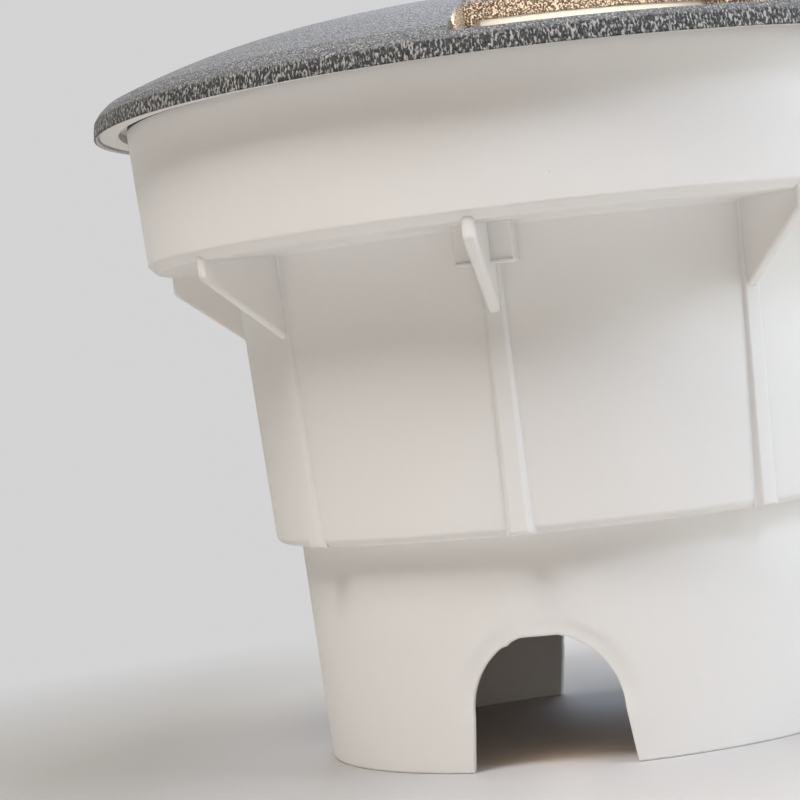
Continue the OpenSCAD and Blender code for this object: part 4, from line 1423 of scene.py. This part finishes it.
    def build(self, coat: bpy.types.Material) -> None:
        """Make the cover and dress it."""
        skin = self.shell()
        for half in (0, 180):
            skin.place(self.jamb_skin(1), turned_by(self.window_from + half))
            skin.place(self.jamb_skin(-1), turned_by(self.window_from + self.window_span + half))
            skin.place(self.pillar_skin(), turned_by(self.screw_azimuth + half))
        piece = skin.piece("cast_cover", sharp=50.0)
        self.drill(piece)
        dress(piece, coat, Body.COVER, "cover")


@dataclass
class PressedLens:
    """The pressed glass lens over its seat."""

    lens_r: float = 61.5
    low: float = 153.9
    shoulder_z: float = 156.9
    top: float = 161.4
    raised_r: float = 52.5
    hollow_r: float = 46.5
    around: int = 192

    def build(self, glass: bpy.types.Material) -> None:
        """Make the lens and dress it."""
        skin = Skin()
        skin.lathe(rounded([
            (0.0, self.shoulder_z, 0.0), (self.hollow_r, self.shoulder_z, 0.8),
            (self.hollow_r + 1.0, self.low, 0.3), (self.lens_r, self.low, 0.4),
            (self.lens_r, self.shoulder_z, 0.5), (self.raised_r, self.shoulder_z, 0.3),
            (self.raised_r, self.top, 1.0), (0.0, self.top, 0.0)]), self.around)
        dress(skin.piece("pressed_lens"), glass, Body.HOUSING, "glass_lens")


@dataclass
class LampGlow:
    """Warm light of the lamp: on the walls inside each window, and soaking into the foot."""

    window_r: float = 93.0
    window_z: float = 156.0
    strips: int = 5
    strip_w: float = 13.0
    strip_h: float = 1.2
    strip_tilt: float = 50.0
    first: float = 5.0
    spread: float = 35.0
    strip_watts: float = 0.0026
    strip_colour: Colour = (1.0, 0.84, 0.66)
    foot_at: float = 50.0
    foot_z: float = 14.0
    foot_bulb_r: float = 6.0
    foot_watts: float = 0.0034
    foot_colour: Colour = (1.0, 0.74, 0.55)

    def build(self) -> None:
        """Hang the strips of both windows, and one bulb inside the front arch."""
        tilt = math.radians(self.strip_tilt)
        for half in (0, 180):
            for i in range(self.strips):
                data = bpy.data.lights.new(f"window_glow_{half}_{i}", "AREA")
                data.shape = "RECTANGLE"
                data.size, data.size_y = self.strip_w * MM, self.strip_h * MM
                data.energy = self.strip_watts
                data.color = self.strip_colour
                turn = turned_by(self.first + half + self.spread * i / (self.strips - 1))
                place = turn @ Vector((0, self.window_r, self.window_z))
                facing = turn @ Vector((0, -math.cos(tilt), math.sin(tilt)))
                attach(hang(data, place * MM, facing), Body.COVER.value)
        data = bpy.data.lights.new("foot_glow", "POINT")
        data.energy = self.foot_watts
        data.color = self.foot_colour
        data.shadow_soft_size = self.foot_bulb_r * MM
        bulb = hang(data, Vector((0, -self.foot_at, self.foot_z)) * MM, Vector((0, 0, -1)))
        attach(bulb, Body.SLEEVE.value)


@dataclass
class KeptNodes:
    """Frame nodes whose shape is right: they get softened edges and a finish."""

    table: dict[Slot, Sequence[str]]
    edge: float = 0.25
    weld: float = 0.001
    flat_angle: float = 0.4
    edge_angle: float = 32.0

    def soften(self, node: Thing) -> None:
        """Round the edges that show, by modifiers only."""
        node.modifiers.new("join_points", "WELD").merge_threshold = self.weld * MM
        flat = node.modifiers.new("clear_flats", "DECIMATE")
        flat.decimate_type = "DISSOLVE"
        flat.angle_limit = math.radians(self.flat_angle)
        bevel = node.modifiers.new("soft_edges", "BEVEL")
        bevel.width = self.edge * MM
        bevel.segments = 2
        bevel.limit_method = "ANGLE"
        bevel.angle_limit = math.radians(self.edge_angle)
        bevel.harden_normals = False
        keep_normals(node)

    def build(self, finishes: dict[Slot, bpy.types.Material]) -> None:
        """Dress every kept node with the material of its slot."""
        for slot, names in self.table.items():
            for name in names:
                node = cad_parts[name]
                for place in node.material_slots:
                    place.material = finishes[slot]
                self.soften(node)
                log.info("%s keeps its shape, finish %s", name, slot.value)


@dataclass(frozen=True)
class StudioLamp:
    """A square lamp of the studio that faces the object."""

    name: str
    azimuth: float
    height: float
    reach: float
    size: float
    level: float
    colour: Colour

    def build(self, aim: Vector) -> None:
        """Hang the lamp at its reach from a point; its level is what it gives a white surface."""
        data = bpy.data.lights.new(self.name, "AREA")
        data.shape = "SQUARE"
        data.size = self.size
        data.energy = self.level * math.pi ** 2 * self.reach ** 2
        data.color = self.colour
        a, h = math.radians(self.azimuth), math.radians(self.height)
        away = Vector((math.sin(a) * math.cos(h), -math.cos(a) * math.cos(h), math.sin(h)))
        hang(data, aim + away * self.reach, -away)


@dataclass
class Studio:
    """Pale floor and surroundings, soft lights and the camera."""

    lamps: Sequence[StudioLamp]
    aim_z: float = 80.0
    distance: float = 606.5
    height: float = 86.2
    azimuth: float = 9.443
    yaw: float = -3.598
    pitch: float = -0.4756
    roll: float = -6.245
    lens: float = 115.52
    sensor: float = 36.0
    sky_colour: Colour = (0.165, 0.125, 0.070)
    backdrop: Colour = (0.655, 0.655, 0.660)
    floor_size: float = 6.0
    floor_colour: Colour = (0.62, 0.61, 0.60)
    floor_shown: Colour = (0.525, 0.515, 0.510)
    floor_shade: Colour = (0.345, 0.330, 0.310)
    shade_across: float = -9.0
    shade_deep: float = -2.0
    shade_from: float = 0.10
    fade_from: float = 0.13
    fade_to: float = 0.30

    def camera(self) -> None:
        """Set the camera as the photograph was taken."""
        data = bpy.data.cameras.new("photo_camera")
        data.sensor_width = self.sensor
        data.lens = self.lens
        data.clip_start = 0.01
        data.clip_end = 50.0
        yaw, pitch, roll = (math.radians(v) for v in (self.yaw, self.pitch, self.roll))
        ahead = Vector((math.sin(yaw) * math.cos(pitch), math.cos(yaw) * math.cos(pitch),
                        math.sin(pitch)))
        right = Vector((math.cos(yaw), -math.sin(yaw), 0.0))
        up = right.cross(ahead)
        leaned_right = right * math.cos(roll) + up * math.sin(roll)
        leaned_up = up * math.cos(roll) - right * math.sin(roll)
        facing = Matrix((leaned_right, leaned_up, -ahead)).transposed().to_4x4()
        facing.translation = Vector((0.0, -self.distance * MM, self.height * MM))
        camera = shown(bpy.data.objects.new("photo_camera", data))
        camera.matrix_world = Matrix.Rotation(math.radians(self.azimuth), 4, "Z") @ facing
        bpy.context.scene.camera = camera

    def sky(self) -> None:
        """Light the scene evenly and show the plain background behind it."""
        world = bpy.data.worlds.new("surroundings")
        world.use_nodes = True
        bpy.context.scene.world = world
        nodes = Nodes(world.node_tree)
        light = nodes.node("Background", Color=self.sky_colour)
        backdrop = nodes.node("Background", Color=self.backdrop)
        nodes.node("OutputWorld", Surface=nodes.mixed(nodes.looked_at(), light, backdrop))

    def floor(self) -> None:
        """Lay a pale floor, with painted shade towards the left front, that fades into the
        background away from the object.
        """
        half = self.floor_size / 2
        mesh = bpy.data.meshes.new("floor")
        mesh.from_pydata([(-half, -half, 0), (half, -half, 0), (half, half, 0), (-half, half, 0)],
                         [], [(0, 1, 2, 3)])
        recipe = Recipe("pale_floor")
        across, deep, _ = recipe.split()
        # Painted shade: seen by the camera, the floor darkens towards the left front.
        left = recipe.scaled(across, self.shade_across, recipe.times(deep, self.shade_deep))
        tone = recipe.blend(recipe.ramp(left, (self.shade_from, 0.0), (1.0, 1.0)),
                            self.floor_shown, self.floor_shade)
        recipe.surface(Base_Color=recipe.blend(recipe.looked_at(), self.floor_colour, tone),
                       Roughness=0.6, Specular_IOR_Level=0.2)
        far = recipe.ramp(recipe.radius(), (self.fade_from, 0.0), (self.fade_to, 1.0))
        glow = recipe.node("Emission", Color=self.backdrop)
        seen_far = recipe.times(far, recipe.ray("Camera"))
        recipe.put(recipe.output, "Surface", recipe.mixed(seen_far, recipe.shader, glow))
        mesh.materials.append(recipe.material)
        shown(bpy.data.objects.new("floor", mesh))

    def build(self) -> None:
        """Make the whole studio."""
        self.camera()
        self.sky()
        self.floor()
        for lamp in self.lamps:
            lamp.build(Vector((0, 0, self.aim_z * MM)))
        bpy.context.scene.view_settings.view_transform = "Standard"


KEPT: dict[Slot, Sequence[str]] = {
    Slot.SLEEVE_PLASTIC: ("lamp_housing",),
    Slot.GLASS: ("lamp_lens",),
    Slot.RUBBER: ("flange_gasket", "lens_gasket", "gland_seal", "cover_screw_seals"),
    Slot.STAINLESS: ("pocket_nuts", "hold_down_screws", "clamp_screws", "driver_screws",
                     "bracket_screws", "pivot_screws", "cover_screws", "pan_lock_screw",
                     "turntable_retainer", "yoke_brackets"),
    Slot.CLAMP_METAL: ("lens_clamp_ring", "turntable"),
    Slot.BRASS: ("cover_inserts",),
    Slot.GLAND_PLASTIC: ("cable_gland", "gland_nut", "gland_cap", "lamp_bezel"),
    Slot.DRIVER_CASE: ("driver",),
    Slot.TERMINAL_PLASTIC: ("terminal_block",),
    Slot.LEAD_BROWN: ("driver_leads",),
    Slot.HEAT_SINK: ("lamp_body",),
    Slot.BOARD_MASK: ("led_board",),
    Slot.CHIP_PHOSPHOR: ("led_chip",),
    Slot.REFLECTOR_MIRROR: ("reflector",),
}

DOME = Dome()

FINISHES: dict[Slot, Finish] = {
    Slot.SLEEVE_PLASTIC: MouldedPlastic("sleeve_plastic", (0.830, 0.815, 0.795),
                                        (0.810, 0.790, 0.765)),
    Slot.COVER_COAT: CastCoating("cover_coat", DOME),
    Slot.GLASS: PressedGlass("lens_glass"),
    Slot.RUBBER: SoftRubber("black_rubber"),
    Slot.STAINLESS: WorkedMetal("stainless", (0.62, 0.61, 0.59), (0.42, 0.40, 0.38)),
    Slot.CLAMP_METAL: WorkedMetal("clamp_metal", (0.90, 0.90, 0.89), (0.80, 0.79, 0.77),
                                  roughness=0.34, bareness=0.25),
    Slot.BRASS: WorkedMetal("brass", (0.80, 0.58, 0.26), (0.45, 0.30, 0.14)),
    Slot.GLAND_PLASTIC: MouldedPlastic("gland_plastic", (0.045, 0.045, 0.047),
                                       (0.030, 0.030, 0.032), speck=(0.12, 0.12, 0.12)),
    Slot.DRIVER_CASE: MouldedPlastic("driver_case", (0.035, 0.036, 0.040), (0.025, 0.026, 0.029),
                                     speck=(0.10, 0.10, 0.10), roughness=0.5),
    Slot.TERMINAL_PLASTIC: MouldedPlastic("terminal_plastic", (0.72, 0.70, 0.62),
                                          (0.64, 0.61, 0.52)),
    Slot.LEAD_BROWN: MouldedPlastic("lead_brown", (0.22, 0.10, 0.05), (0.17, 0.08, 0.04),
                                    roughness=0.38),
    Slot.HEAT_SINK: WorkedMetal("heat_sink", (0.55, 0.55, 0.56), (0.40, 0.40, 0.41),
                                roughness=0.48, marks=Marks.NONE),
    Slot.BOARD_MASK: BoardMask("board_mask"),
    Slot.CHIP_PHOSPHOR: PhosphorGel("chip_phosphor"),
    Slot.REFLECTOR_MIRROR: WorkedMetal("reflector_mirror", (0.93, 0.93, 0.92), (0.85, 0.84, 0.82),
                                       roughness=0.12, marks=Marks.NONE, mark_depth=0.004),
}

LAMPS: Sequence[StudioLamp] = (
    StudioLamp("front_lamp", -25.0, 58.0, 1.5, 0.5, 0.72, (1.0, 0.985, 0.975)),
    StudioLamp("key_lamp", 58.6, 46.7, 1.5, 0.36, 0.33, (0.74, 0.80, 1.0)),
    StudioLamp("side_lamp", 95.0, 20.0, 1.8, 1.0, 0.44, (0.82, 0.94, 1.0)),
    StudioLamp("top_lamp", 0.0, 88.0, 1.6, 0.8, 0.34, (1.0, 0.96, 0.85)),
    StudioLamp("back_lamp", 180.0, 30.0, 1.8, 1.0, 0.30, (0.68, 0.79, 1.0)),
)


def main() -> None:
    """Build the studio and every piece, in order."""
    logging.basicConfig(level=logging.INFO, format="%(name)s: %(message)s")
    finishes = {slot: finish.made() for slot, finish in FINISHES.items()}
    BurialSleeve().build(finishes[Slot.SLEEVE_PLASTIC])
    CastCover(DOME).build(finishes[Slot.COVER_COAT])
    PressedLens().build(finishes[Slot.GLASS])
    KeptNodes(KEPT).build(finishes)
    LampGlow().build()
    Studio(LAMPS).build()


if __name__ == "__main__":
    main()
